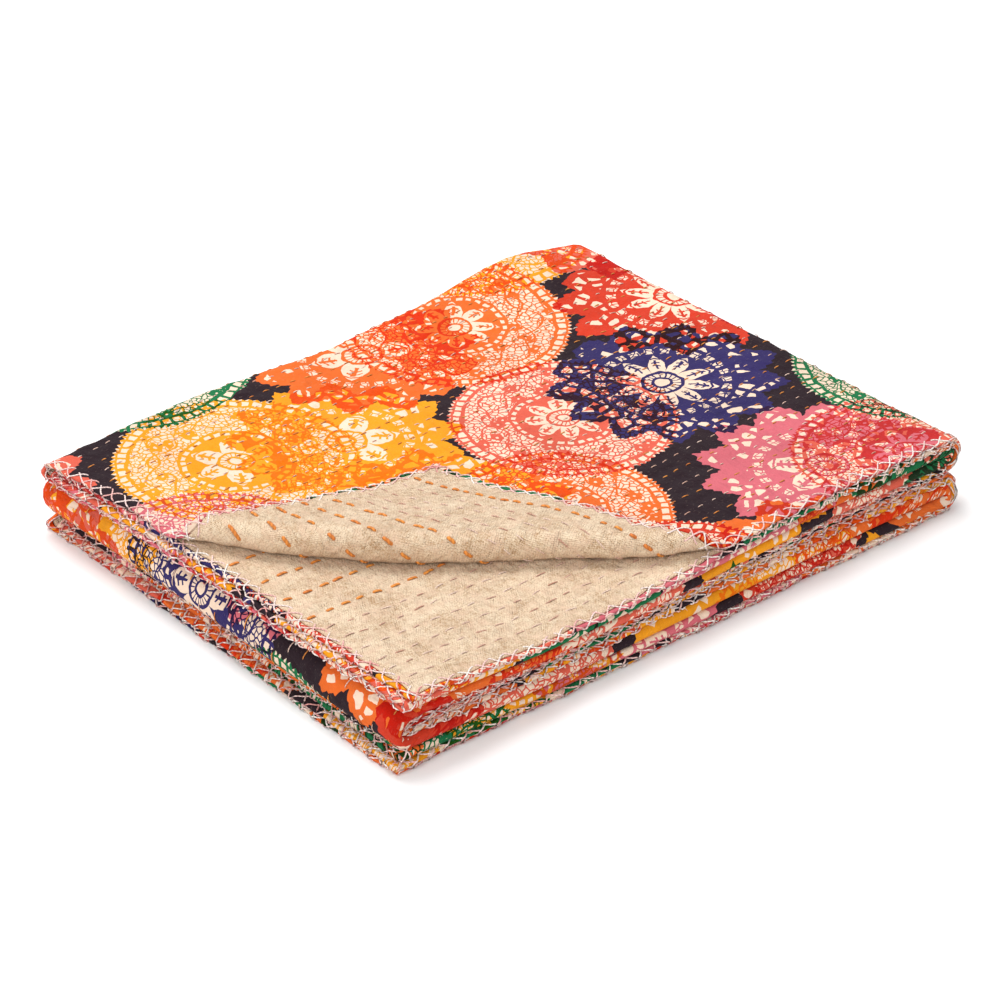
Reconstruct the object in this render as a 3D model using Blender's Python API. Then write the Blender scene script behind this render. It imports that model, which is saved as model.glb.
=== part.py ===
"""A kantha quilt folded in sixteen, with the front corner of its top layer turned back.

The quilt is two cloths, a printed face and a plain backing, quilted together. Each is drawn flat, cut
along the lines where it will bend, and then folded point by point, the way the real one is put away:
  1. the corner rolls back over the print,
  2. the width is folded in half and in half again, which makes a pack of four layers,
  3. the pack is folded back and forth along the length, which makes a pile of four packs,
  4. the pile settles: packs slip a little, and it lies thinner at some places than at others.

Flat coordinates are s along the length, t across the width and d out of the cloth towards the print.
The pile has +X along its long side, +Y along its short side and the surface it lies on at Z = 0.
Its front side, at -Y, shows hems and folds, and its left side, at -X, shows the ends of the cloth.
"""

import math
from collections import namedtuple

import bmesh
import bpy
from mathutils import Vector

# Driving dimensions, in metres.
QUILT_LENGTH = 1.783
QUILT_WIDTH = 1.371
CLOTH_THICKNESS = 0.001
CLOTH_GAP = 0.0004
LAYER_PITCH = 0.003
PACK_LAYERS = 4
PACKS = 4

QUILT_THICKNESS = 2 * CLOTH_THICKNESS + CLOTH_GAP
PACK_PITCH = PACK_LAYERS * LAYER_PITCH
PACK_SPREAD = (PACK_LAYERS - 1) * LAYER_PITCH
PILE_HEIGHT = (PACKS * PACK_LAYERS - 1) * LAYER_PITCH + QUILT_THICKNESS

# Half the pile's length and width before it settles.
HALF_LENGTH = 0.2225
HALF_WIDTH = 0.1725

# A row for each span of cloth between two folds: where it starts, where it ends and its level, which
# counts layers from the middle of the pack for the width, and from the bottom of the pile for the length.
Span = namedtuple("Span", "start end level")

WIDTH_SPANS = (
    Span(start=-HALF_WIDTH, end=HALF_WIDTH - 0.0050, level=1.5),
    Span(start=HALF_WIDTH - 0.0050, end=-HALF_WIDTH + 0.0020, level=-1.5),
    Span(start=-HALF_WIDTH + 0.0020, end=HALF_WIDTH - 0.0100, level=-0.5),
    Span(start=HALF_WIDTH - 0.0100, end=-HALF_WIDTH, level=0.5),
)
LENGTH_SPANS = (
    Span(start=-HALF_LENGTH, end=HALF_LENGTH - 0.0085, level=13.5),
    Span(start=HALF_LENGTH - 0.0085, end=-HALF_LENGTH + 0.0095, level=9.5),
    Span(start=-HALF_LENGTH + 0.0095, end=HALF_LENGTH - 0.0085, level=5.5),
    Span(start=HALF_LENGTH - 0.0085, end=-HALF_LENGTH, level=1.5),
)

# A row for each pack, from the bottom: how far it has slipped along X and Y at the middle of the pile,
# and how much further along X at the pile's back and along Y at its right end.
Slip = namedtuple("Slip", "along across along_at_back across_at_right")

PACK_SLIPS = (
    Slip(along=0.0000, across=-0.0055, along_at_back=0.0030, across_at_right=-0.0045),
    Slip(along=0.0010, across=-0.0025, along_at_back=0.0010, across_at_right=-0.0020),
    Slip(along=0.0035, across=0.0005, along_at_back=-0.0010, across_at_right=-0.0010),
    Slip(along=0.0050, across=0.0000, along_at_back=-0.0030, across_at_right=0.0000),
)

# How far the outer two layers of a pack slide over the inner two: inwards at the end of the cloth that
# lies on top, outwards at the end that lies at the bottom, and inwards at the hems of the middle packs.
TOP_END_STAGGER = 0.004
BOTTOM_END_STAGGER = 0.006
STAGGER_RUN = 0.120
HEM_RECESS = 0.004
HEM_RECESS_RUN = 0.050
# The hems of the middle packs are pressed thin by the folds above and below them, which swell.
FOLD_SWELL = 0.0014
FOLD_SWELL_RUN = 0.040

# How high the pile lies, as a share of PILE_HEIGHT: a row for each third of the way to the back, with
# the heights at each quarter of the way to the right.
Loft = namedtuple("Loft", "left left_middle middle right_middle right")

LOFTS = (
    Loft(left=1.00, left_middle=0.86, middle=0.92, right_middle=1.00, right=0.95),
    Loft(left=1.01, left_middle=0.93, middle=0.97, right_middle=1.01, right=1.03),
    Loft(left=1.05, left_middle=1.02, middle=1.03, right_middle=1.08, right=1.12),
    Loft(left=0.97, left_middle=1.11, middle=1.07, right_middle=1.22, right=1.20),
)
HUMP_HEIGHT = 0.012
HUMP_X = 0.155
HUMP_Y = 0.185
HUMP_REACH = 0.045

# The corner that is turned back. Its roll lies across the corner: a row for each step along the roll,
# with the distance from the cloth's corner to where the roll starts, and the roll's radius.
Roll = namedtuple("Roll", "front radius")

ROLL_ANGLE = math.radians(51.2)
ROLL_LEFT_END = -0.130
ROLL_RIGHT_END = 0.200
ROLLS = (
    Roll(front=0.1700, radius=0.0060),
    Roll(front=0.1560, radius=0.0084),
    Roll(front=0.1500, radius=0.0094),
    Roll(front=0.1500, radius=0.0092),
    Roll(front=0.1520, radius=0.0086),
    Roll(front=0.1510, radius=0.0075),
    Roll(front=0.1580, radius=0.0055),
)
FLAP_RUN = 0.100
FLAP_REST = 0.0050
FLAP_REACH = 0.82
FLAP_DRIFT = 0.036

# How finely the flat cloth is cut.
LENGTH_CUTS = (0.15, 0.32, 0.49, 0.64, 0.75, 0.86)
WIDTH_CUTS = (0.24, 0.48, 0.70, 0.87)
TURN_STEPS = 5
ROLL_STEP = 0.0045
ALONG_ROLL_STEP = 0.033
FLAP_STEP = 0.026
# The distance from the corner where the cut that becomes the roll's front is drawn, the distance from
# which cuts stay straight, and how many times a bent cut is brought nearer to the roll's own curve.
CUT_AT_ROLL = 0.155
CUTS_STRAIGHT = 0.250
CUT_FITTINGS = 12
CLOSE_ENOUGH = 1e-6

CREASE_ANGLE = math.radians(40)

PRINT_COLOUR = (0.80, 0.27, 0.09, 1)
BACKING_COLOUR = (0.62, 0.47, 0.30, 1)
CLOTH_ROUGHNESS = 0.9


def within(share):
    return min(max(share, 0.0), 1.0)


def smooth(share):
    """Runs from 0 to 1 with level ends."""
    share = within(share)
    return share * share * (3 - 2 * share)


def blend(low, high, share):
    return low + (high - low) * share


def curve(values, share):
    """A smooth curve through evenly spaced values, read at a share of the way along them."""
    last = len(values) - 1
    index = min(int(within(share) * last), last - 1)
    part = within(share) * last - index
    before, low, high, after = (values[min(max(index + step, 0), last)] for step in (-1, 0, 1, 2))
    cubic = 3 * (low - high) + after - before
    square = 2 * before - 5 * low + 4 * high - after
    return low + part / 2 * (high - before + part * (square + part * cubic))


# ---- folds ----------------------------------------------------------------------------------------


def turn_radius(span, following):
    return abs(following.level - span.level) * LAYER_PITCH / 2


def stretches(spans):
    """Each straight span and each half turn after it, with the length of cloth where it starts."""
    travelled = 0.0
    for index, span in enumerate(spans):
        straight = abs(span.end - span.start)
        yield span, None, travelled, straight
        travelled += straight
        if index + 1 < len(spans):
            half_turn = math.pi * turn_radius(span, spans[index + 1])
            yield span, spans[index + 1], travelled, half_turn
            travelled += half_turn


def fold(spans, travelled):
    """Follows a folded line for a length of cloth. Returns place, height and the normal's two parts."""
    for span, following, begins, length in stretches(spans):
        if travelled <= begins + length:
            break
    heading = math.copysign(1.0, span.end - span.start)
    height = span.level * LAYER_PITCH
    if following is None:
        return span.start + heading * (travelled - begins), height, 0.0, heading
    radius = turn_radius(span, following)
    rise = math.copysign(1.0, following.level - span.level)
    angle = min((travelled - begins) / radius, math.pi)
    place = span.end + heading * radius * math.sin(angle)
    height += rise * radius * (1 - math.cos(angle))
    return place, height, -rise * math.sin(angle), heading * math.cos(angle)


def roll_at(along):
    """Where the roll starts and its radius, at a distance along it."""
    share = (along - ROLL_LEFT_END) / (ROLL_RIGHT_END - ROLL_LEFT_END)
    return curve([row.front for row in ROLLS], share), curve([row.radius for row in ROLLS], share)


def turn_back_corner(s, t, d):
    """Rolls the cloth's corner up and back, and lets the flap down on the print."""
    outward = s * math.cos(ROLL_ANGLE) + t * math.sin(ROLL_ANGLE)
    along = s * math.sin(ROLL_ANGLE) - t * math.cos(ROLL_ANGLE)
    front, radius = roll_at(along)
    beyond = front - outward
    if beyond <= 0:
        return s, t, d
    angle = min(beyond / radius, math.pi)
    back = beyond - math.pi * radius
    outward = front - (radius - d) * math.sin(angle)
    d = radius - (radius - d) * math.cos(angle)
    if back > 0:
        outward += back * FLAP_REACH
        d -= (2 * radius - FLAP_REST) * smooth(back / FLAP_RUN)
        along += FLAP_DRIFT * (back / front) ** 2
    s = outward * math.cos(ROLL_ANGLE) + along * math.sin(ROLL_ANGLE)
    t = outward * math.sin(ROLL_ANGLE) - along * math.cos(ROLL_ANGLE)
    return s, t, d


def stagger(x, y, s, offset):
    """Slides the layers of a pack over each other at the ends of the cloth and at the middle hems."""
    outer = smooth(3 * (offset / PACK_SPREAD + 0.5) - 1)
    x += TOP_END_STAGGER * outer * smooth(1 - s / STAGGER_RUN)
    x += BOTTOM_END_STAGGER * (1 - outer) * smooth(1 - (QUILT_LENGTH - s) / STAGGER_RUN)
    middle = math.sin(math.pi * within(s / QUILT_LENGTH)) ** 2
    y += HEM_RECESS * outer * middle * smooth(1 - (y + HALF_WIDTH) / HEM_RECESS_RUN)
    return x, y


def slip_at(height):
    """How far the pile has slipped at a height, eased from pack to pack."""
    level = height / PACK_PITCH - 0.5
    lower = min(max(math.floor(level), 0), PACKS - 1)
    upper = min(lower + 1, PACKS - 1)
    share = smooth(level - lower)
    return [blend(low, high, share) for low, high in zip(PACK_SLIPS[lower], PACK_SLIPS[upper])]


def settle(x, y, z):
    """Moves a point of the squarely folded pile to where it comes to rest."""
    right = x / HALF_LENGTH
    back = y / HALF_WIDTH
    between = within((z - PACK_PITCH) / PACK_PITCH / 2)
    near_hems = smooth(1 - (y + HALF_WIDTH) / FOLD_SWELL_RUN)
    z += FOLD_SWELL * math.sin(2 * math.pi * between) * near_hems
    slip = Slip(*slip_at(z))
    loft = curve([curve(row, right / 2 + 0.5) for row in LOFTS], back / 2 + 0.5)
    away = ((x - HUMP_X) ** 2 + (y - HUMP_Y) ** 2) / HUMP_REACH**2
    loft += HUMP_HEIGHT / PILE_HEIGHT * math.exp(-away)
    x += slip.along + slip.along_at_back * back
    y += slip.across + slip.across_at_right * right
    return x, y, z * loft


def folded(s, t, d):
    """Where a point of the flat quilt lies in the pile."""
    s, t, d = turn_back_corner(s, t, d)
    y, offset, normal_y, normal_offset = fold(WIDTH_SPANS, t)
    y += d * normal_y
    offset += d * normal_offset
    x, height, normal_x, normal_z = fold(LENGTH_SPANS, s)
    x, y = stagger(x + offset * normal_x, y, s, offset)
    z = height + offset * normal_z + QUILT_THICKNESS / 2
    if abs(z) < CLOSE_ENOUGH:
        z = 0.0
    return settle(x, y, z)


# ---- the flat cloth -------------------------------------------------------------------------------


def cuts_along(spans, shares):
    """The lengths of cloth at which a folded line needs a point, the same places on every span."""
    ends = [place for span in spans for place in (span.start, span.end)]
    shared = [blend(min(ends), max(ends), share) for share in shares]
    for span, following, begins, length in stretches(spans):
        if following:
            yield from (begins + length * i / TURN_STEPS for i in range(TURN_STEPS + 1))
        else:
            yield from (begins + abs(place - span.start) for place in shared)


def corner_cuts():
    """Distances from the corner, square to the roll, at which the turned-back cloth needs a point."""
    rolled = math.pi * max(row.radius for row in ROLLS)
    steps = math.ceil(rolled / ROLL_STEP)
    yield from (CUT_AT_ROLL - rolled * i / steps for i in range(steps + 1))
    place = CUT_AT_ROLL - rolled - FLAP_STEP
    while place > FLAP_STEP / 2:
        yield place
        place -= FLAP_STEP


def bent_to_roll(s, t):
    """Moves a point to or from the cloth's corner, so that the straight cuts there follow the roll."""
    outward = s * math.cos(ROLL_ANGLE) + t * math.sin(ROLL_ANGLE)
    along = s * math.sin(ROLL_ANGLE) - t * math.cos(ROLL_ANGLE)
    if not 0 < outward < CUTS_STRAIGHT:
        return s, t
    front = CUT_AT_ROLL
    for _ in range(CUT_FITTINGS):
        front = (front + roll_at(along / outward * front)[0]) / 2
    fade = smooth((CUTS_STRAIGHT - outward) / (CUTS_STRAIGHT - CUT_AT_ROLL))
    stretch = 1 + (front / CUT_AT_ROLL - 1) * fade
    return s * stretch, t * stretch


def cut_across(sheet, faces, place, direction):
    """Cuts the given faces along a line at a distance from the cloth's corner."""
    edges = dict.fromkeys(edge for face in faces for edge in face.edges)
    verts = dict.fromkeys(vert for face in faces for vert in face.verts)
    point = (place * direction[0], place * direction[1], 0)
    geometry = [*verts, *edges, *faces]
    normal = (*direction, 0)
    bmesh.ops.bisect_plane(sheet, geom=geometry, plane_co=point, plane_no=normal, dist=CLOSE_ENOUGH)


def passed(spans, travelled):
    """How many folds a length of cloth has passed, a fold counting from its middle."""
    turns = [stretch for stretch in stretches(spans) if stretch[1]]
    return sum(travelled > begins + length / 2 for _, _, begins, length in turns)


def split_quads(sheet):
    """Cuts each four-sided cell corner to corner, the same way in every layer of the pile."""
    for face in [face for face in sheet.faces if len(face.verts) == 4]:
        centre = face.calc_center_median()
        turned = passed(LENGTH_SPANS, centre.x) + passed(WIDTH_SPANS, centre.y)
        lean = -1 if turned % 2 else 1
        corners = sorted(face.verts, key=lambda vert: vert.co.x + lean * vert.co.y)
        if not set(corners[0].link_edges) & set(corners[-1].link_edges):
            bmesh.utils.face_split(face, corners[0], corners[-1])


def on_first_panel(face):
    """Whether a face of the flat cloth lies before the first fold both ways, where the corner is."""
    centre = face.calc_center_median()
    length = abs(LENGTH_SPANS[0].end - LENGTH_SPANS[0].start)
    width = abs(WIDTH_SPANS[0].end - WIDTH_SPANS[0].start)
    return centre.x < length and centre.y < width


def flat_sheet():
    """The quilt as cut: one flat sheet of triangles, with an edge along each line where it will bend."""
    sheet = bmesh.new()
    bmesh.ops.create_grid(sheet, x_segments=1, y_segments=1, size=0.5)
    bmesh.ops.translate(sheet, verts=sheet.verts, vec=(0.5, 0.5, 0))
    bmesh.ops.scale(sheet, verts=sheet.verts, vec=(QUILT_LENGTH, QUILT_WIDTH, 1))
    for place in cuts_along(LENGTH_SPANS, LENGTH_CUTS):
        cut_across(sheet, sheet.faces[:], place, (1, 0))
    for place in cuts_along(WIDTH_SPANS, WIDTH_CUTS):
        cut_across(sheet, sheet.faces[:], place, (0, 1))
    out = Vector((math.cos(ROLL_ANGLE), math.sin(ROLL_ANGLE)))
    along = Vector((out.y, -out.x))
    for place in corner_cuts():
        cut_across(sheet, [face for face in sheet.faces if on_first_panel(face)], place, out)
    first = math.floor(ROLL_LEFT_END / ALONG_ROLL_STEP)
    last = math.ceil(ROLL_RIGHT_END / ALONG_ROLL_STEP)
    for step in range(first, last):
        rolled = [face for face in sheet.faces if face.calc_center_median().xy @ out < CUT_AT_ROLL]
        cut_across(sheet, rolled, (step + 0.5) * ALONG_ROLL_STEP, along)
    split_quads(sheet)
    for vert in sheet.verts:
        vert.co.x, vert.co.y = bent_to_roll(vert.co.x, vert.co.y)
    bmesh.ops.triangulate(sheet, faces=sheet.faces[:])
    return sheet


def make_cloth(name, low, high, colour, collection):
    """One cloth of the quilt, from low to high across the quilt's thickness, folded into the pile."""
    sheet = flat_sheet()
    bmesh.ops.solidify(sheet, geom=sheet.faces[:], thickness=CLOTH_THICKNESS)
    middle = sum(vert.co.z for vert in sheet.verts) / len(sheet.verts)
    for vert in sheet.verts:
        vert.co = folded(vert.co.x, vert.co.y, high if vert.co.z > middle else low)
    if sheet.calc_volume(signed=True) < 0:
        bmesh.ops.reverse_faces(sheet, faces=sheet.faces[:])
    mesh = bpy.data.meshes.new(name)
    sheet.to_mesh(mesh)
    sheet.free()
    mesh.shade_smooth()
    mesh.set_sharp_from_angle(angle=CREASE_ANGLE)
    mesh.materials.append(cloth_material(name, colour))
    cloth = bpy.data.objects.new(name, mesh)
    collection.objects.link(cloth)
    return cloth


def cloth_material(name, colour):
    material = bpy.data.materials.new(name)
    material.use_nodes = True
    shader = material.node_tree.nodes["Principled BSDF"]
    shader.inputs["Base Color"].default_value = colour
    shader.inputs["Roughness"].default_value = CLOTH_ROUGHNESS
    shader.inputs["Metallic"].default_value = 0.0
    return material


def centre_on_floor(cloths):
    """Moves the pile so that the origin is under the middle of the box around it."""
    points = [vert.co for cloth in cloths for vert in cloth.data.vertices]
    middle_x = (min(point.x for point in points) + max(point.x for point in points)) / 2
    middle_y = (min(point.y for point in points) + max(point.y for point in points)) / 2
    for cloth in cloths:
        cloth.location = (-middle_x, -middle_y, 0)


def main():
    for leftover in list(bpy.data.objects):
        bpy.data.objects.remove(leftover)
    collection = bpy.data.collections.new("kantha_quilt")
    bpy.context.scene.collection.children.link(collection)
    inner, outer = CLOTH_GAP / 2, CLOTH_GAP / 2 + CLOTH_THICKNESS
    printed = make_cloth("printed_face", inner, outer, PRINT_COLOUR, collection)
    backing = make_cloth("plain_backing", -outer, -inner, BACKING_COLOUR, collection)
    centre_on_floor([printed, backing])


main()
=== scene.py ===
"""The looks of a folded kantha quilt.

The quilt is a printed cloth and a plain backing cloth. Both are cut flat, folded point by point into the
pile, and sewn through with running stitches and over every hem with a crossed edge thread. Flat places on
the quilt are given as s along its length, t across its width and d out of it, towards the print. Places in
the pile are given as x, y and z. Lengths are in metres.
"""

import itertools
import logging
import math
from dataclasses import dataclass, field, replace
from enum import Enum
from typing import Iterator, Optional, Sequence, Union

import bpy
import numpy as np
from mathutils import Euler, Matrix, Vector


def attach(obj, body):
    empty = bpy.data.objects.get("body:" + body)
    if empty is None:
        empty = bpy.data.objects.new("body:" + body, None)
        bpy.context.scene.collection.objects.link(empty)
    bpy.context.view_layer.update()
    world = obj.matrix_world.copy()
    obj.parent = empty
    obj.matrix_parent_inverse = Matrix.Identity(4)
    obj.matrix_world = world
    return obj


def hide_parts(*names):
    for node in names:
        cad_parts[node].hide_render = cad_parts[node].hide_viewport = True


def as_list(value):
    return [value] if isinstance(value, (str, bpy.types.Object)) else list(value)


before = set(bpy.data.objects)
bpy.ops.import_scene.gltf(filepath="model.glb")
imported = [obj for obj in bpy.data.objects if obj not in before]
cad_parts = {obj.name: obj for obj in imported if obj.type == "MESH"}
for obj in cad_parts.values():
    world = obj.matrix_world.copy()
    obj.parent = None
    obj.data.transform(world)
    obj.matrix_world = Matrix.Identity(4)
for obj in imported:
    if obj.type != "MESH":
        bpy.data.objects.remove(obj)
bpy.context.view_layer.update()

log = logging.getLogger("kantha_quilt")

Array = np.ndarray
Socket = bpy.types.NodeSocket
Value = Union["Number", float]
Colour = tuple[float, float, float, float]

BODY = "root"


def dye(red: int, green: int, blue: int) -> Colour:
    """A cloth or thread colour from its red, green and blue on a screen.

    Args:
        red: The red part, from 0 to 255.
        green: The green part, from 0 to 255.
        blue: The blue part, from 0 to 255.

    Returns:
        The same colour as a shader takes it.
    """
    def linear(part: int) -> float:
        """One part of the colour in linear light."""
        share = part / 255
        return share / 12.92 if share <= 0.04045 else ((share + 0.055) / 1.055) ** 2.4

    return linear(red), linear(green), linear(blue), 1.0


# ---- folding --------------------------------------------------------------------------------------


def within(share: Array) -> Array:
    """The shares, held between 0 and 1."""
    return np.clip(share, 0.0, 1.0)


def smooth(share: Array) -> Array:
    """Runs from 0 to 1 with level ends."""
    share = within(share)
    return share * share * (3 - 2 * share)


def near(distance: Array, reach: float) -> Array:
    """1 where the distance is 0, fading to 0 where it is the reach."""
    return smooth(1 - distance / reach)


def curve(values: Sequence[Union[Array, float]], share: Array) -> Array:
    """A smooth curve through evenly spaced values.

    Args:
        values: The values, each a number or one number a point.
        share: How far along the values to read, from 0 to 1.

    Returns:
        The curve's value at each point.
    """
    share = within(np.asarray(share, float))
    rows = np.stack([np.broadcast_to(value, share.shape) for value in values])
    last = len(rows) - 1
    index = np.minimum((share * last).astype(int), last - 1)
    part = share * last - index

    def row(step: int) -> Array:
        """The value that many places on from each point's own."""
        place = np.clip(index + step, 0, last)
        return np.take_along_axis(rows, place[None], axis=0)[0]

    before, low, high, after = row(-1), row(0), row(1), row(2)
    cubic = 3 * (low - high) + after - before
    square = 2 * before - 5 * low + 4 * high - after
    return low + part / 2 * (high - before + part * (square + part * cubic))


@dataclass(frozen=True)
class Wave:
    """A sine wave over the cloth, which other waves may bend.

    A radian of it is as long as length. Along and across say how much each way counts towards that.
    """

    length: float
    along: float = 1.0
    across: float = 0.0
    start: float = 0.0
    height: float = 1.0
    bent_by: tuple["Wave", ...] = ()

    def at(self, x: Array, y: Union[Array, float] = 0.0) -> Array:
        """The wave's height at each place."""
        phase = (self.along * x + self.across * y) / self.length + self.start
        return self.height * np.sin(phase + sum(wave.at(x, y) for wave in self.bent_by))


def woven(patterns: Sequence[Sequence[Wave]], x: Array, y: Array) -> Array:
    """The height of several patterns together, each of them its waves multiplied."""
    return sum(math.prod(wave.at(x, y) for wave in waves) for waves in patterns)


@dataclass(frozen=True)
class Span:
    """A straight run of cloth between two folds.

    Its level counts layers, from the middle of a pack or from the bottom of the pile.
    """

    start: float
    end: float
    level: float

    @property
    def length(self) -> float:
        """From end to end."""
        return abs(self.end - self.start)

    @property
    def heading(self) -> float:
        """1 where it runs forwards, and -1 where it runs back."""
        return math.copysign(1.0, self.end - self.start)


@dataclass(frozen=True)
class FoldedLine:
    """A line of cloth folded back and forth over its spans, with a half turn after each."""

    spans: tuple[Span, ...]
    pitch: float

    def radius(self, span: Span, following: Span) -> float:
        """The radius of the half turn between two spans."""
        return abs(following.level - span.level) * self.pitch / 2

    def stretches(self) -> Iterator[tuple[Span, Optional[Span], float, float]]:
        """Each span and each half turn, in order.

        Returns:
            The span, the span that the turn leads to or None, where it begins along the cloth and its length.
        """
        travelled = 0.0
        for span, following in itertools.zip_longest(self.spans, self.spans[1:]):
            yield span, None, travelled, span.length
            travelled += span.length
            if following is not None:
                turn = math.pi * self.radius(span, following)
                yield span, following, travelled, turn
                travelled += turn

    def ends(self, number: int) -> tuple[float, float]:
        """Where one stretch begins and ends. Spans have even numbers and half turns odd ones."""
        _, _, begins, length = list(self.stretches())[number]
        return begins, begins + length

    def on(self, travelled: Array, number: int) -> Array:
        """Whether each place is on one stretch."""
        begins, ends = self.ends(number)
        return (travelled >= begins) & (travelled <= ends)

    def follow(self, travelled: Array) -> tuple[Array, Array, Array, Array]:
        """Where lengths of cloth come to lie.

        Args:
            travelled: How far along the cloth each point is.

        Returns:
            The place, the height, and the normal's part along each of them.
        """
        lies = tuple(np.zeros_like(travelled) for _ in range(4))
        for span, following, begins, _ in self.stretches():
            here = travelled >= (begins if begins > 0 else -math.inf)
            level = span.level * self.pitch
            beyond = travelled - begins
            if following is None:
                found = (span.start + span.heading * beyond, level, 0.0, span.heading)
            else:
                radius = self.radius(span, following)
                rise = math.copysign(1.0, following.level - span.level)
                angle = np.minimum(beyond / radius, math.pi)
                found = (
                    span.end + span.heading * radius * np.sin(angle),
                    level + rise * radius * (1 - np.cos(angle)),
                    -rise * np.sin(angle),
                    span.heading * np.cos(angle),
                )
            lies = tuple(np.where(here, new, old) for new, old in zip(found, lies))
        return lies

    def turned(self, travelled: Array, ease: float) -> Array:
        """The angle from the nearest half turn's middle, positive where the normal is on a fold's outside.

        Args:
            travelled: How far along the cloth each point is.
            ease: The length over which it fades, before and after each half turn.

        Returns:
            An angle for each point.
        """
        total = np.zeros_like(travelled)
        for span, following, begins, length in self.stretches():
            if following is not None:
                sign = span.heading * math.copysign(1.0, following.level - span.level)
                angle = math.pi * (within((travelled - begins) / length) - 0.5)
                beyond = np.maximum(begins - travelled, travelled - begins - length)
                total = total - sign * angle * near(beyond, ease)
        return total


@dataclass(frozen=True)
class Slip:
    """How far a pack has slipped at the middle of the pile, and how much further at its back and right."""

    along: float
    across: float
    along_at_back: float
    across_at_right: float


@dataclass(frozen=True)
class Roll:
    """Where the turned-back corner's roll starts, from the corner, and its radius."""

    front: float
    radius: float


@dataclass(frozen=True)
class Hump:
    """A rise in the pile: where its middle is, how far it reaches and how high it is."""

    x: float
    y: float
    reach: float
    rise: float


SIDE_WAVER = (Wave(0.0089), Wave(0.0041, start=1.3, height=0.7), Wave(0.0193, start=0.4, height=0.8))
END_WAVER = (Wave(0.0083, start=2.1), Wave(0.0037, height=0.7), Wave(0.0211, start=1.9, height=0.8))

RIPPLES = (
    (
        Wave(0.0147, start=0.6, height=0.40, bent_by=(Wave(0.021, 0.0, 1.0, height=0.9),)),
        Wave(0.0171, -0.0171 / 0.041, 1.0, start=1.1),
    ),
    (Wave(0.0237, 1.0, 0.6, start=2.2, height=0.35), Wave(0.0113, -0.3, 1.0, start=0.5)),
    (Wave(0.0331, 1.0, -1.3, height=0.45, bent_by=(Wave(0.027, height=0.8),)),),
)

CREASE_SWING = (
    Wave(0.019, 1.0, 0.019 / 0.031, height=1.4),
    Wave(0.0143, -0.0143 / 0.037, 1.0, start=0.7, height=1.1),
)
CREASES = (
    (
        Wave(0.0031, 1.0, 0.35, height=0.75, bent_by=CREASE_SWING),
        Wave(0.0043, 0.0, 1.0, bent_by=(Wave(0.0173, start=1.9, height=1.3),)),
    ),
    (
        Wave(0.0057, 1.0, -0.55, height=0.75, bent_by=(Wave(0.0211, 0.0, 1.0, start=2.4, height=1.7),)),
        Wave(0.0057, 0.2, 1.0, bent_by=CREASE_SWING),
    ),
)


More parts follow.
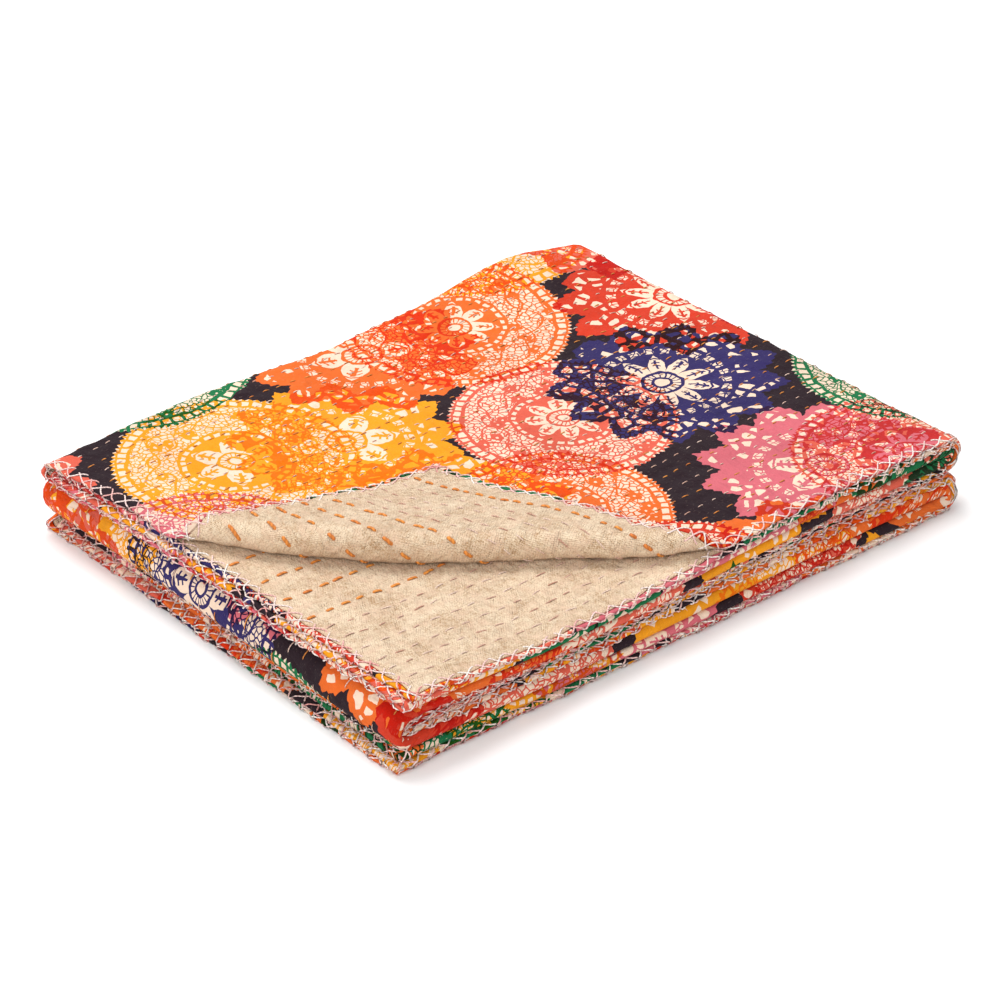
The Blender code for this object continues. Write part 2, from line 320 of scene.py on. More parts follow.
@dataclass(frozen=True)
class Pile:
    """The folded quilt's sizes, and the way from the flat quilt to the pile."""

    length: float = 1.783
    width: float = 1.371
    cloth: float = 0.001
    between_cloths: float = 0.0004
    pitch: float = 0.003
    pack_layers: int = 4
    packs: int = 4
    half_length: float = 0.2225
    half_width: float = 0.1725
    centre: tuple[float, float] = (-0.003838, 0.004070)

    # The layers' levels in turn, and how far each half turn between them stops short of the pile's side.
    along_levels: tuple[float, ...] = (13.5, 9.5, 5.5, 1.5)
    along_short: tuple[float, ...] = (0.0085, 0.0095, 0.0085)
    across_levels: tuple[float, ...] = (1.5, -1.5, -0.5, 0.5)
    across_short: tuple[float, ...] = (0.0050, 0.0020, 0.0100)

    top_end_stagger: float = 0.004
    bottom_end_stagger: float = 0.006
    stagger_run: float = 0.120
    hem_recess: float = 0.004
    hem_recess_run: float = 0.050
    fold_swell: float = 0.0014
    fold_swell_run: float = 0.040
    hump: Hump = Hump(0.155, 0.185, 0.045, 0.012)

    roll_angle: float = math.radians(51.2)
    roll_left_end: float = -0.130
    roll_right_end: float = 0.200
    flap_run: float = 0.100
    flap_rest: float = 0.0050
    flap_reach: float = 0.82
    flap_drift: float = 0.036

    slips: tuple[Slip, ...] = (
        Slip(0.0000, -0.0055, 0.0030, -0.0045),
        Slip(0.0010, -0.0025, 0.0010, -0.0020),
        Slip(0.0035, 0.0005, -0.0010, -0.0010),
        Slip(0.0050, 0.0000, -0.0030, 0.0000),
    )
    lofts: tuple[tuple[float, ...], ...] = (
        (1.00, 0.86, 0.92, 1.00, 0.95),
        (1.01, 0.93, 0.97, 1.01, 1.03),
        (1.05, 1.02, 1.03, 1.08, 1.12),
        (0.97, 1.11, 1.07, 1.22, 1.20),
    )
    rolls: tuple[Roll, ...] = (
        Roll(0.1700, 0.0060),
        Roll(0.1560, 0.0084),
        Roll(0.1500, 0.0094),
        Roll(0.1500, 0.0092),
        Roll(0.1520, 0.0086),
        Roll(0.1510, 0.0075),
        Roll(0.1580, 0.0055),
    )

    # Small unevenness that the plain folds don't have: a hem's waver, the pile's ripples and pressed hems.
    waver: float = 0.0012
    waver_run: float = 0.030
    ripple: float = 0.016
    crease: float = 0.00055
    hem_press: float = 0.30
    hem_press_run: float = 0.0060
    print_ease: float = 0.100

    @property
    def thickness(self) -> float:
        """The quilt's own thickness, both cloths and the space between them."""
        return 2 * self.cloth + self.between_cloths

    @property
    def pack_pitch(self) -> float:
        """How far apart the packs lie."""
        return self.pack_layers * self.pitch

    @property
    def pack_spread(self) -> float:
        """From the first layer of a pack to its last."""
        return (self.pack_layers - 1) * self.pitch

    @property
    def height(self) -> float:
        """The pile's height before it settles."""
        return (self.packs * self.pack_layers - 1) * self.pitch + self.thickness

    @property
    def across(self) -> FoldedLine:
        """The width's folds: in half and in half again."""
        return self.folded(self.half_width, self.across_levels, self.across_short)

    @property
    def along(self) -> FoldedLine:
        """The length's folds: back and forth in four."""
        return self.folded(self.half_length, self.along_levels, self.along_short)

    def folded(self, half: float, levels: Sequence[float], short: Sequence[float]) -> FoldedLine:
        """A line of cloth that goes back and forth between two sides of the pile, from the first side.

        Args:
            half: From the pile's middle to each of the sides.
            levels: The level of each span.
            short: How far each half turn stops short of its side.

        Returns:
            The folded line.
        """
        turns = [(half - gap) * (-1) ** number for number, gap in enumerate(short)]
        stops = [-half, *turns, -half]
        spans = (Span(start, end, level) for start, end, level in zip(stops, stops[1:], levels))
        return FoldedLine(tuple(spans), self.pitch)

    def inset(self, s: Array, t: Array) -> Array:
        """How far each place is from the nearest edge of the quilt."""
        return np.minimum(np.minimum(s, self.length - s), np.minimum(t, self.width - t))

    def from_corner(self, s: Array, t: Array) -> tuple[Array, Array]:
        """Turns flat places into distances out from the corner and along the roll."""
        cosine, sine = math.cos(self.roll_angle), math.sin(self.roll_angle)
        return s * cosine + t * sine, s * sine - t * cosine

    def roll_at(self, along: Array) -> tuple[Array, Array]:
        """Where the roll starts and its radius, at distances along it.

        Args:
            along: Distances along the roll.

        Returns:
            Where its front is, out from the corner, and its radius.
        """
        share = (along - self.roll_left_end) / (self.roll_right_end - self.roll_left_end)
        fronts = curve([row.front for row in self.rolls], share)
        return fronts, curve([row.radius for row in self.rolls], share)

    def turn_back_corner(self, s: Array, t: Array, d: Array) -> tuple[Array, Array, Array]:
        """Rolls the corner up and back, and lets the flap down on the print.

        Args:
            s: Places along the quilt.
            t: Places across it.
            d: Places through it.

        Returns:
            The same three, with the corner turned back.
        """
        outward, along = self.from_corner(s, t)
        front, radius = self.roll_at(along)
        beyond = front - outward
        turned = beyond > 0
        angle = np.clip(beyond / radius, 0.0, math.pi)
        back = np.maximum(beyond - math.pi * radius, 0.0)
        out = front - (radius - d) * np.sin(angle) + back * self.flap_reach
        deep = radius - (radius - d) * np.cos(angle)
        deep = deep - (2 * radius - self.flap_rest) * smooth(back / self.flap_run)
        drifted = along + self.flap_drift * (back / front) ** 2
        cosine, sine = math.cos(self.roll_angle), math.sin(self.roll_angle)
        rolled_s = out * cosine + drifted * sine
        rolled_t = out * sine - drifted * cosine
        return np.where(turned, rolled_s, s), np.where(turned, rolled_t, t), np.where(turned, deep, d)

    def pressed(self, s: Array, t: Array, d: Array) -> tuple[Array, Array, Array]:
        """Presses the hems a little thinner and lets their edges waver.

        Args:
            s: Places along the quilt.
            t: Places across it.
            d: Places through it.

        Returns:
            The same three, moved a little near the hems.
        """
        d = d * (1 - self.hem_press * near(self.inset(s, t), self.hem_press_run))
        at_ends = near(s, self.waver_run) - near(self.length - s, self.waver_run)
        at_sides = near(t, self.waver_run) - near(self.width - t, self.waver_run)
        moved_s = self.waver / 2 * sum(wave.at(t) for wave in END_WAVER) * at_ends
        moved_t = self.waver / 2 * sum(wave.at(s) for wave in SIDE_WAVER) * at_sides
        return s + moved_s, t + moved_t, d

    def stagger(self, x: Array, y: Array, s: Array, offset: Array) -> tuple[Array, Array]:
        """Slides the layers of a pack over each other at the cloth's ends and at the middle hems.

        Args:
            x: Places along the pile.
            y: Places across it.
            s: Places along the flat quilt.
            offset: How far each is from the middle of its pack.

        Returns:
            The places along and across the pile, with the layers slid.
        """
        level = offset / self.pack_spread + 0.5
        outer = smooth(3 * level - 1)
        x = x + self.top_end_stagger * outer * near(s, self.stagger_run)
        x = x + self.bottom_end_stagger * (1 - outer) * near(self.length - s, self.stagger_run)
        middle = np.sin(math.pi * within(s / self.length)) ** 2
        return x, y + self.hem_recess * outer * middle * near(y + self.half_width, self.hem_recess_run)

    def printed_at(self, s: Array, t: Array, d: Array) -> Array:
        """Where the pattern is read, so that an outer layer has more of it round a fold than an inner one.

        Args:
            s: Places along the quilt.
            t: Places across it.
            d: Places through it.

        Returns:
            Three numbers a point: the pattern's own places, and d.
        """
        _, offset, _, normal_offset = self.across.follow(t)
        offset = offset + d * normal_offset
        round_s, round_t = self.along.turned(s, self.print_ease), self.across.turned(t, self.print_ease)
        return np.stack([s + offset * round_s, t + d * round_t, d + 0 * s], axis=-1)

    def slipped(self, x: Array, y: Array, z: Array) -> tuple[Array, Array]:
        """Slides the packs over each other.

        Args:
            x: Places along the pile.
            y: Places across it.
            z: Heights in it.

        Returns:
            The places along and across the pile, with the packs slid.
        """
        level = z / self.pack_pitch - 0.5
        lower = np.clip(np.floor(level).astype(int), 0, self.packs - 1)
        upper = np.minimum(lower + 1, self.packs - 1)
        share = smooth(level - lower)

        def eased(values: list[float]) -> Array:
            """One of the slips, eased from pack to pack."""
            table = np.array(values)
            return table[lower] + (table[upper] - table[lower]) * share

        along = eased([slip.along for slip in self.slips])
        along = along + eased([slip.along_at_back for slip in self.slips]) * y / self.half_width
        across = eased([slip.across for slip in self.slips])
        across = across + eased([slip.across_at_right for slip in self.slips]) * x / self.half_length
        return x + along, y + across

    def settle(self, x: Array, y: Array, z: Array) -> Array:
        """Moves points of the squarely folded pile to where they come to rest.

        Args:
            x: Places along the pile.
            y: Places across it.
            z: Heights in it.

        Returns:
            The points, one row each.
        """
        between = within((z - self.pack_pitch) / self.pack_pitch / 2)
        swell = self.fold_swell * np.sin(math.tau * between)
        z = z + swell * near(y + self.half_width, self.fold_swell_run)
        rows = [curve(row, x / self.half_length / 2 + 0.5) for row in self.lofts]
        loft = curve(rows, y / self.half_width / 2 + 0.5)
        away = ((x - self.hump.x) ** 2 + (y - self.hump.y) ** 2) / self.hump.reach**2
        loft = loft + self.hump.rise / self.height * np.exp(-away)
        risen = smooth(z / self.height)
        loft = loft * (1 + self.ripple * woven(RIPPLES, x, y) * risen)
        z_settled = z * loft + self.crease * woven(CREASES, x, y) * risen**2
        x, y = self.slipped(x, y, z)
        return np.stack([x + self.centre[0], y + self.centre[1], z_settled], axis=-1)

    def place(self, s: Array, t: Array, d: Array) -> Array:
        """Where points of the flat quilt lie in the pile.

        Args:
            s: Places along the quilt.
            t: Places across it.
            d: Places through it, positive towards the print.

        Returns:
            The points in the pile, one row each.
        """
        s, t, d = (np.asarray(part, float) for part in np.broadcast_arrays(s, t, d))
        s, t, d = self.turn_back_corner(*self.pressed(s, t, d))
        y, offset, normal_y, normal_offset = self.across.follow(t)
        y, offset = y + d * normal_y, offset + d * normal_offset
        x, height, normal_x, normal_z = self.along.follow(s)
        x, y = self.stagger(x + offset * normal_x, y, s, offset)
        z = np.maximum(height + offset * normal_z + self.thickness / 2, 0.0)
        return self.settle(x, y, z)

    def outward(self, s: Array, t: Array) -> Array:
        """The quilt's own normal at each point, towards the print."""
        step = self.place(s, t, 1e-4) - self.place(s, t, -1e-4)
        return step / np.maximum(np.linalg.norm(step, axis=-1, keepdims=True), 1e-9)


# ---- meshes ---------------------------------------------------------------------------------------


def make_piece(
    name: str, points: Array, faces: list[list[int]], marks: Array, finish: bpy.types.Material
) -> bpy.types.Object:
    """A mesh piece that rides on the quilt.

    Args:
        name: The piece's name.
        points: Its points, one row each.
        faces: Its faces, each a run of point numbers.
        marks: Three numbers a point that its finish reads, such as where it lies on the flat cloth.
        finish: Its material.

    Returns:
        The new object.
    """
    mesh = bpy.data.meshes.new(name)
    mesh.from_pydata(points.tolist(), [], faces)
    layer = mesh.attributes.new("cut", "FLOAT_VECTOR", "POINT")
    layer.data.foreach_set("vector", np.asarray(marks, np.float32).ravel())
    mesh.shade_smooth()
    mesh.materials.append(finish)
    piece = bpy.data.objects.new(name, mesh)
    bpy.context.scene.collection.objects.link(piece)
    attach(piece, BODY)
    return piece


@dataclass(frozen=True)
class Fineness:
    """How finely the flat cloth is divided into cells.

    The first three sizes are a cell's, where it shows, inside the pile and folded under. A cell is divided
    once more where it is on top or under the turned-back corner, and most on the corner itself.
    """

    shown: float = 0.0090
    hidden: float = 0.0125
    folded_under: float = 0.0170
    turn_steps: int = 10
    small_turn_steps: int = 8
    hem_begins: float = 0.0031
    hem_ends: float = 0.0024
    hem_lines: tuple[float, ...] = (0.0010, 0.0024, 0.0031, 0.0060)
    least: float = 0.0006
    corner_reach: float = 0.185
    under_corner: tuple[float, float] = (0.300, 0.250)
    middle: int = 2
    most: int = 4


@dataclass
class QuiltCloth:
    """One cloth of the quilt, from low to high across the quilt's thickness.

    Its edges stop short of the quilt's by as much as cut_back. Its hem goes down to hem_low.
    """

    name: str
    pile: Pile
    low: float
    high: float
    finish: bpy.types.Material
    cut_back: float
    hem_low: float
    fineness: Fineness = field(default_factory=Fineness)

    def lines(self, folds: FoldedLine, sizes: Sequence[float], total: float) -> Array:
        """Where lines are drawn on the flat cloth, across one of its directions.

        Args:
            folds: The direction's folds.
            sizes: How far apart the lines are on each span.
            total: The cloth's whole length that way.

        Returns:
            The lines' places, from edge to edge.
        """
        fine = self.fineness
        hem_lines = [self.cut_back, *(line for line in fine.hem_lines if line > self.cut_back)]
        places = [*hem_lines, *(total - line for line in hem_lines)]
        spans = iter(sizes)
        for _, following, begins, length in folds.stretches():
            if following is None:
                steps = max(1, round(length / next(spans)))
            else:
                wide = length > math.tau * self.pile.pitch
                steps = fine.turn_steps if wide else fine.small_turn_steps
            places.extend(begins + length * step / steps for step in range(steps + 1))
        places = sorted(place for place in places if self.cut_back <= place <= total - self.cut_back)
        kept = [places[0]]
        for place in places[1:]:
            if place - kept[-1] > fine.least:
                kept.append(place)
        kept[-1] = total - self.cut_back
        return np.array(kept)

    def steps_per_cell(self, s: Array, t: Array) -> Array:
        """How many times each cell of the flat cloth is divided each way.

        Args:
            s: The cells' middles along the cloth.
            t: The cells' middles across it.

        Returns:
            1, 2 or 4 for each cell.
        """
        fine, pile = self.fineness, self.pile
        under_s, under_t = fine.under_corner
        outward, _ = pile.from_corner(s, t)
        steps = np.ones_like(s, int)
        steps[(s < pile.along.spans[0].length) & (t < pile.across.spans[0].length)] = fine.middle
        steps[(s < under_s) & (t > pile.width - under_t)] = fine.middle
        steps[outward < fine.corner_reach] = fine.most
        return steps

    def flat(self) -> tuple[Array, list[list[int]], list[tuple[int, int]]]:
        """The cloth as cut, finer where it shows and where it rolls.

        Returns:
            Its flat points, its faces, and the edges round it in order.
        """
        fine, pile, most = self.fineness, self.pile, self.fineness.most
        along = self.lines(pile.along, (fine.shown, fine.hidden, fine.hidden, fine.hidden), pile.length)
        across_sizes = (fine.shown, fine.folded_under, fine.folded_under, fine.shown)
        across = self.lines(pile.across, across_sizes, pile.width)
        middles = np.meshgrid((along[1:] + along[:-1]) / 2, (across[1:] + across[:-1]) / 2, indexing="ij")
        fine_s, fine_t = (
            np.interp(np.arange(most * (len(coarse) - 1) + 1) / most, np.arange(len(coarse)), coarse)
            for coarse in (along, across)
        )
        used = np.zeros((len(fine_s), len(fine_t)), bool)
        cells = []
        for (i, j), count in np.ndenumerate(self.steps_per_cell(*middles)):
            step = most // count
            cells.append((i * most, j * most, step))
            used[i * most : (i + 1) * most + 1 : step, j * most : (j + 1) * most + 1 : step] = True
        number = np.full(used.shape, -1)
        number[used] = np.arange(used.sum())
        rows, columns = np.nonzero(used)
        points = np.stack([fine_s[rows], fine_t[columns]], axis=-1)
        faces = []
        for low_i, low_j, step in cells:
            for i, j in itertools.product(range(low_i, low_i + most, step), range(low_j, low_j + most, step)):
                ring = [number[i : i + step, j], number[i + step, j : j + step]]
                ring += [number[i + step : i : -1, j + step], number[i, j + step : j : -1]]
                faces.append([int(point) for side in ring for point in side if point >= 0])
        border = [number[:, 0], number[-1, :], number[::-1, -1], number[0, ::-1]]
        round_it = [int(point) for side in border for point in side[:-1] if point >= 0]
        return points, faces, list(zip(round_it, round_it[1:] + round_it[:1]))

    def build(self) -> bpy.types.Object:
        """Cuts, folds and dresses the cloth.

        Returns:
            The new object.
        """
        flat, faces, edges = self.flat()
        count = len(flat)
        s, t = flat[:, 0], flat[:, 1]
        hem = [self.fineness.hem_ends, self.fineness.hem_begins]
        low = np.interp(self.pile.inset(s, t), hem, [self.hem_low, self.low])
        high = np.full(count, self.high)
        points = np.concatenate([self.pile.place(s, t, d) for d in (high, low)])
        marks = np.concatenate([self.pile.printed_at(s, t, d) for d in (high, low)])
        under = [[point + count for point in reversed(face)] for face in faces]
        rim = [[second, first, first + count, second + count] for first, second in edges]
        return make_piece(self.name, points, faces + under + rim, marks, self.finish)


# ---- threads --------------------------------------------------------------------------------------


@dataclass(frozen=True)
class Thread:
    """A thread's size: half its width and half its height, and how many sides its mesh has."""

    half_width: float
    half_height: float
    sides: int = 6

    def tubes(self, paths: Array, ups: Array, taper: float) -> tuple[Array, list[list[int]], Array]:
        """Lays thread along paths.

        Args:
            paths: The paths' points, by path and place along it.
            ups: The direction out of the cloth at each of them.
            taper: How thin the thread is at its two ends, as a share.

        Returns:
            The points, the faces, and three numbers a point: along the thread, round it and the path's own.
        """
        paths_count, places, _ = paths.shape
        ahead = np.gradient(paths, axis=1)
        ahead /= np.maximum(np.linalg.norm(ahead, axis=-1, keepdims=True), 1e-9)
        aside = np.cross(ahead, ups)
        aside /= np.maximum(np.linalg.norm(aside, axis=-1, keepdims=True), 1e-9)
        up = np.cross(aside, ahead)
        size = np.ones(places)
        size[[0, -1]] = taper
        angles = np.arange(self.sides) * math.tau / self.sides
        wide = aside[:, :, None] * (self.half_width * np.cos(angles))[None, None, :, None]
        high = up[:, :, None] * (self.half_height * np.sin(angles))[None, None, :, None]
        rings = paths[:, :, None] + (wide + high) * size[None, :, None, None]
        gone = np.linalg.norm(np.diff(paths, axis=1), axis=-1).cumsum(axis=1)
        gone = np.concatenate([np.zeros((paths_count, 1)), gone], axis=1)
        own = np.random.default_rng(places).random(paths_count)
        marks = np.broadcast_arrays(gone[:, :, None], (angles / math.tau)[None, None], own[:, None, None])
        starts = np.arange(paths_count)[:, None, None] * places * self.sides
        grid = starts + np.arange(places)[None, :, None] * self.sides + np.arange(self.sides)[None, None, :]
        turned = np.roll(grid, -1, axis=2)
        walls = np.stack([grid[:, :-1], turned[:, :-1], turned[:, 1:], grid[:, 1:]], axis=-1).reshape(-1, 4)
        caps = np.concatenate([grid[:, 0, ::-1], grid[:, -1]])
        return rings.reshape(-1, 3), walls.tolist() + caps.tolist(), np.stack(marks, axis=-1).reshape(-1, 3)


class Face(Enum):
    """The side of the quilt that a stitch shows on."""

    PRINT = 1
    BACKING = -1


@dataclass(frozen=True)
class Hand:
    """How unevenly a hand sews.

    A row is off its place by up to row and starts up to start late. A stitch is off its own by a share of
    the pitch, is from the first to the second share as long as meant, and tilts. A row sways in waves.
    """

    row: float = 0.0012
    start: float = 0.006
    spacing: float = 0.10
    lengths: tuple[float, float] = (0.72, 1.22)
    tilt: float = 0.05
    sway: float = 0.0011
    long_wave: Wave = Wave(0.047)
    short_wave: Wave = Wave(0.019, height=0.6)


@dataclass(frozen=True)
class StitchRow:
    """A row of running stitches across the quilt at a place, with gaps of cloth between them."""

    across: float
    begins: float
    ends: float
    stitch: float
    gap: float


@dataclass(frozen=True)
class StitchRows:
    """Evenly spaced rows of running stitches, from the first one's place across the quilt.

    The rows keep a margin to the quilt's two ends.
    """

    first: float
    step: float
    count: int
    stitch: float
    gap: float
    seed: int
    margin: float = 0.006

    def marked(self, length: float, hand: Hand) -> list[StitchRow]:
        """The rows, as unevenly marked out as by hand.

        Args:
            length: The quilt's length.
            hand: Whose hand sews them.

        Returns:
            The rows.
        """
        chance = np.random.default_rng(self.seed)
        return [
            StitchRow(
                across=self.first + self.step * number + chance.uniform(-hand.row, hand.row),
                begins=self.margin + chance.uniform(0, hand.start),
                ends=length - self.margin,
                stitch=self.stitch,
                gap=self.gap,
            )
            for number in range(self.count)
        ]


@dataclass(frozen=True)
class Opening:
    """Where the turned-back corner shows or hides stitches, as distances from its tip or from the hem."""

    rolled_under: tuple[float, float] = (0.020, 0.128)
    flap: float = 0.152
    opened: float = 0.245
    opened_slope: float = 0.80


@dataclass
class RunningStitches:
    """Rows of one running thread, as stitches on one side of the quilt.

    In half heights of the thread, a stitch rises by lift in its middle and dips by dip at its ends.
    """

    name: str
    pile: Pile
    thread: Thread
    finish: bpy.types.Material
    rows: Sequence[StitchRows]
    face: Face
    seed: int
    hand: Hand = field(default_factory=Hand)
    opening: Opening = field(default_factory=Opening)
    places: int = 7
    lift: float = 1.1
    dip: float = 1.2
    taper: float = 0.35
    pressed_in: float = 0.0001
    clear_end: float = 0.004
    clear_side: float = 0.002

    def stitches(self, row: StitchRow, chance: np.random.Generator) -> Array:
        """The stitches of one row.

        Args:
            row: The row.
            chance: Where the hand's unevenness comes from.

        Returns:
            Flat places s, t and d, by stitch and place along it.
        """
        hand = self.hand
        pitch = row.stitch + row.gap
        count = max(1, int((row.ends - row.begins) / pitch))
        shift = 0.0 if self.face is Face.BACKING else pitch / 2
        off = chance.uniform(-hand.spacing, hand.spacing, count)
        begin = row.begins + shift + pitch * (np.arange(count) + off)
        length = row.stitch * chance.uniform(*hand.lengths, count)
        share = np.linspace(0, 1, self.places)
        s = begin[:, None] + length[:, None] * share
        phases = chance.uniform(0, math.tau, 2)
        waves = (hand.long_wave, hand.short_wave)
        sway = sum(replace(wave, start=phase).at(s) for wave, phase in zip(waves, phases))
        tilt = chance.normal(0, hand.tilt, count)[:, None] * (share - 0.5) * length[:, None]
        t = row.across + hand.sway * sway + tilt
        arch = np.sqrt(np.sin(math.pi * share).clip(0, 1))
        high = self.pile.thickness / 2 + self.thread.half_height * (self.lift * arch - self.dip * (1 - arch))
        return np.stack([s, t, np.broadcast_to(self.face.value * high, s.shape)], axis=-1)

    def shown(self, flat: Array) -> Array:
        """Whether each stitch is where it can be seen.

        Args:
            flat: Flat places, by stitch and place along it.

        Returns:
            One truth a stitch.
        """
        s, t, _ = flat[:, self.places // 2].T
        along, across, opening = self.pile.along, self.pile.across, self.opening
        outward, _ = self.pile.from_corner(s, t)
        top_quarter = t < across.ends(1)[1]
        top = (s < along.ends(1)[1]) & top_quarter
        if self.face is Face.BACKING:
            from_edge = (self.pile.width - t) + opening.opened_slope * s
            opened = (s < along.ends(0)[1]) & across.on(t, 6) & (from_edge < opening.opened)
            return (top & (outward < opening.flap)) | opened
        hidden_from, hidden_to = opening.rolled_under
        rolled_under = (outward > hidden_from) & (outward < hidden_to)
        left_turn = along.on(s, 3) & across.on(t, 2)
        right_turn = along.on(s, 5) & top_quarter
        underside = along.on(s, 6) & top_quarter
        wide_folds = across.on(t, 1) | across.on(t, 3)
        return (top & ~rolled_under) | left_turn | right_turn | underside | wide_folds

    def build(self) -> bpy.types.Object:
        """Sews the rows.

        Returns:
            The new object.
        """
        chance = np.random.default_rng(self.seed)
        rows = [row for rows in self.rows for row in rows.marked(self.pile.length, self.hand)]
        flat = np.concatenate([self.stitches(row, chance) for row in rows])
        fits = (flat[..., 0].min(axis=1) > self.clear_end) & (flat[..., 1].min(axis=1) > self.clear_side)
        flat = flat[fits & self.shown(flat)]
        s, t, d = flat[..., 0], flat[..., 1], flat[..., 2]
        points = self.pile.place(s, t, d)
        points[..., 2] = np.maximum(points[..., 2], self.pressed_in)
        ups = self.pile.outward(s, t) * self.face.value
        rings, faces, marks = self.thread.tubes(points, ups, self.taper)
        return make_piece(self.name, rings, faces, marks, self.finish)


@dataclass(frozen=True)
class Winding:
    """One way that a thread winds over a hem: forwards or backwards, and how far on it starts, in turns."""

    forwards: bool
    starts: float


@dataclass
class EdgeThread:
    """A thread that winds over the quilt's hems, once a pitch, and crosses its own way back.

    Its bite swings round middle by swing, as shares of its depth. It sways along the hem by slack, and
    comes lag, an angle, behind its winding. Steepness is how sharply it turns over the edge.
    """

    name: str
    pile: Pile
    thread: Thread
    finish: bpy.types.Material
    windings: tuple[Winding, ...]
    pitch: float = 0.0235
    depth: float = 0.0066
    depths: tuple[float, float] = (0.74, 1.22)
    spacing: float = 0.07
    slack: float = 0.0014
    lag: float = 0.6
    middle: float = 0.44
    swing: float = 0.56
    rise: float = 0.8
    steepness: float = 4.0
    end_margin: float = 0.0005
    taper: float = 0.5
    places_per_turn: int = 20
    seed: int = 21

    def hem(self, winding: Winding, length: float, chance: np.random.Generator) -> tuple[Array, Array, Array]:
        """The thread's way over one hem.

        Args:
            winding: Which way it winds.
            length: The hem's length.
            chance: Where the hand's unevenness comes from.

        Returns:
            Places along the hem, in from the edge and through the quilt.
        """
        turns = round(length / self.pitch)
        turn = np.linspace(0, turns, turns * self.places_per_turn + 1)
        knots = np.arange(turns + 2)
        shift = np.interp(turn, knots, chance.normal(0, self.spacing, turns + 2))
        reach = np.interp(turn, knots, chance.uniform(*self.depths, turns + 2))
        phase = math.tau * (turn + winding.starts) * (1 if winding.forwards else -1)
        u = (turn + shift) / turns * length + self.slack * np.sin(phase - self.lag)
        inset = self.depth * reach * (self.middle - self.swing * np.cos(phase))
        pressed = 1 - self.pile.hem_press * near(inset, self.pile.hem_press_run)
        high = self.pile.thickness / 2 + self.thread.half_height * self.rise / pressed
        d = high * np.tanh(self.steepness * np.sin(phase))
        return u.clip(self.end_margin, length - self.end_margin), inset, d

    def build(self) -> bpy.types.Object:
        """Winds the thread over the four hems.

        Returns:
            The new object.
        """
        chance = np.random.default_rng(self.seed)
        length, width = self.pile.length, self.pile.width
        rings, faces, marks, count = [], [], [], 0
        for side, winding in itertools.product(range(4), self.windings):
            u, inset, d = self.hem(winding, width if side % 2 else length, chance)
            s, t = ((u, inset), (length - inset, u), (u, width - inset), (inset, u))[side]
            points = self.pile.place(s, t, d)
            points[:, 2] = np.maximum(points[:, 2], self.thread.half_width)
            ups = self.pile.outward(s, t) * np.where(d < 0, -1.0, 1.0)[:, None]
            ring, wall, mark = self.thread.tubes(points[None], ups[None], self.taper)
            rings.append(ring)
            marks.append(mark)
            faces.extend([[point + count for point in face] for face in wall])
            count += len(ring)
        return make_piece(self.name, np.concatenate(rings), faces, np.concatenate(marks), self.finish)


# ---- finishes -------------------------------------------------------------------------------------


class Number:
    """A number that a material works out at each place.

    It adds, multiplies and compares as numbers do. A comparison gives a mask, 1 where it holds and 0
    elsewhere. Masks join with & and |, and ~ turns one over.
    """

    def __init__(self, graph: "Graph", socket: Socket) -> None:
        """Takes the number from a node of the graph."""
        self.graph = graph
        self.socket = socket

    def __add__(self, other: Value) -> "Number":
        """The sum."""
        return self.graph.math("ADD", self, other)

    def __sub__(self, other: Value) -> "Number":
        """The difference."""
        return self.graph.math("SUBTRACT", self, other)

    def __mul__(self, other: Value) -> "Number":
        """The product."""
        return self.graph.math("MULTIPLY", self, other)

    def __truediv__(self, other: Value) -> "Number":
        """The quotient."""
        return self.graph.math("DIVIDE", self, other)

    def __lt__(self, other: Value) -> "Number":
        """Where it is the smaller."""
        return self.graph.math("LESS_THAN", self, other)

    def __gt__(self, other: Value) -> "Number":
        """Where it is the greater."""
        return self.graph.math("LESS_THAN", other, self)

    def __and__(self, other: "Number") -> "Number":
        """Where both masks are 1."""
        return self.graph.math("MULTIPLY", self, other)

    def __or__(self, other: "Number") -> "Number":
        """Where either mask is 1."""
        return self.graph.math("MAXIMUM", self, other)

    def __invert__(self) -> "Number":
        """Where the mask is 0."""
        return self.graph.math("SUBTRACT", 1.0, self)

    def between(self, low: Value, high: Value) -> "Number":
        """Where it lies between two others."""
        return (self > low) & (self < high)

    def sine(self) -> "Number":
        """Its sine."""
        return self.graph.math("SINE", self)

    def cosine(self) -> "Number":
        """Its cosine."""
        return self.graph.math("COSINE", self)

    def power(self, exponent: float) -> "Number":
        """It to a power."""
        return self.graph.math("POWER", self, exponent)

    def zigzag(self, count: Value) -> "Number":
        """Runs from 0 to 1 and back, count times as an angle goes once round."""
        return self.graph.math("PINGPONG", self * (count * (1 / math.tau)), 0.5) * 2.0

    def ranged(self, low: float, high: float, to_low: float = 0.0, to_high: float = 1.0) -> "Number":
        """It, held between low and high, and spread from to_low to to_high."""
        inputs = {0: self, 1: low, 2: high, 3: to_low, 4: to_high}
        return Number(self.graph, self.graph.node("ShaderNodeMapRange", inputs).outputs[0])


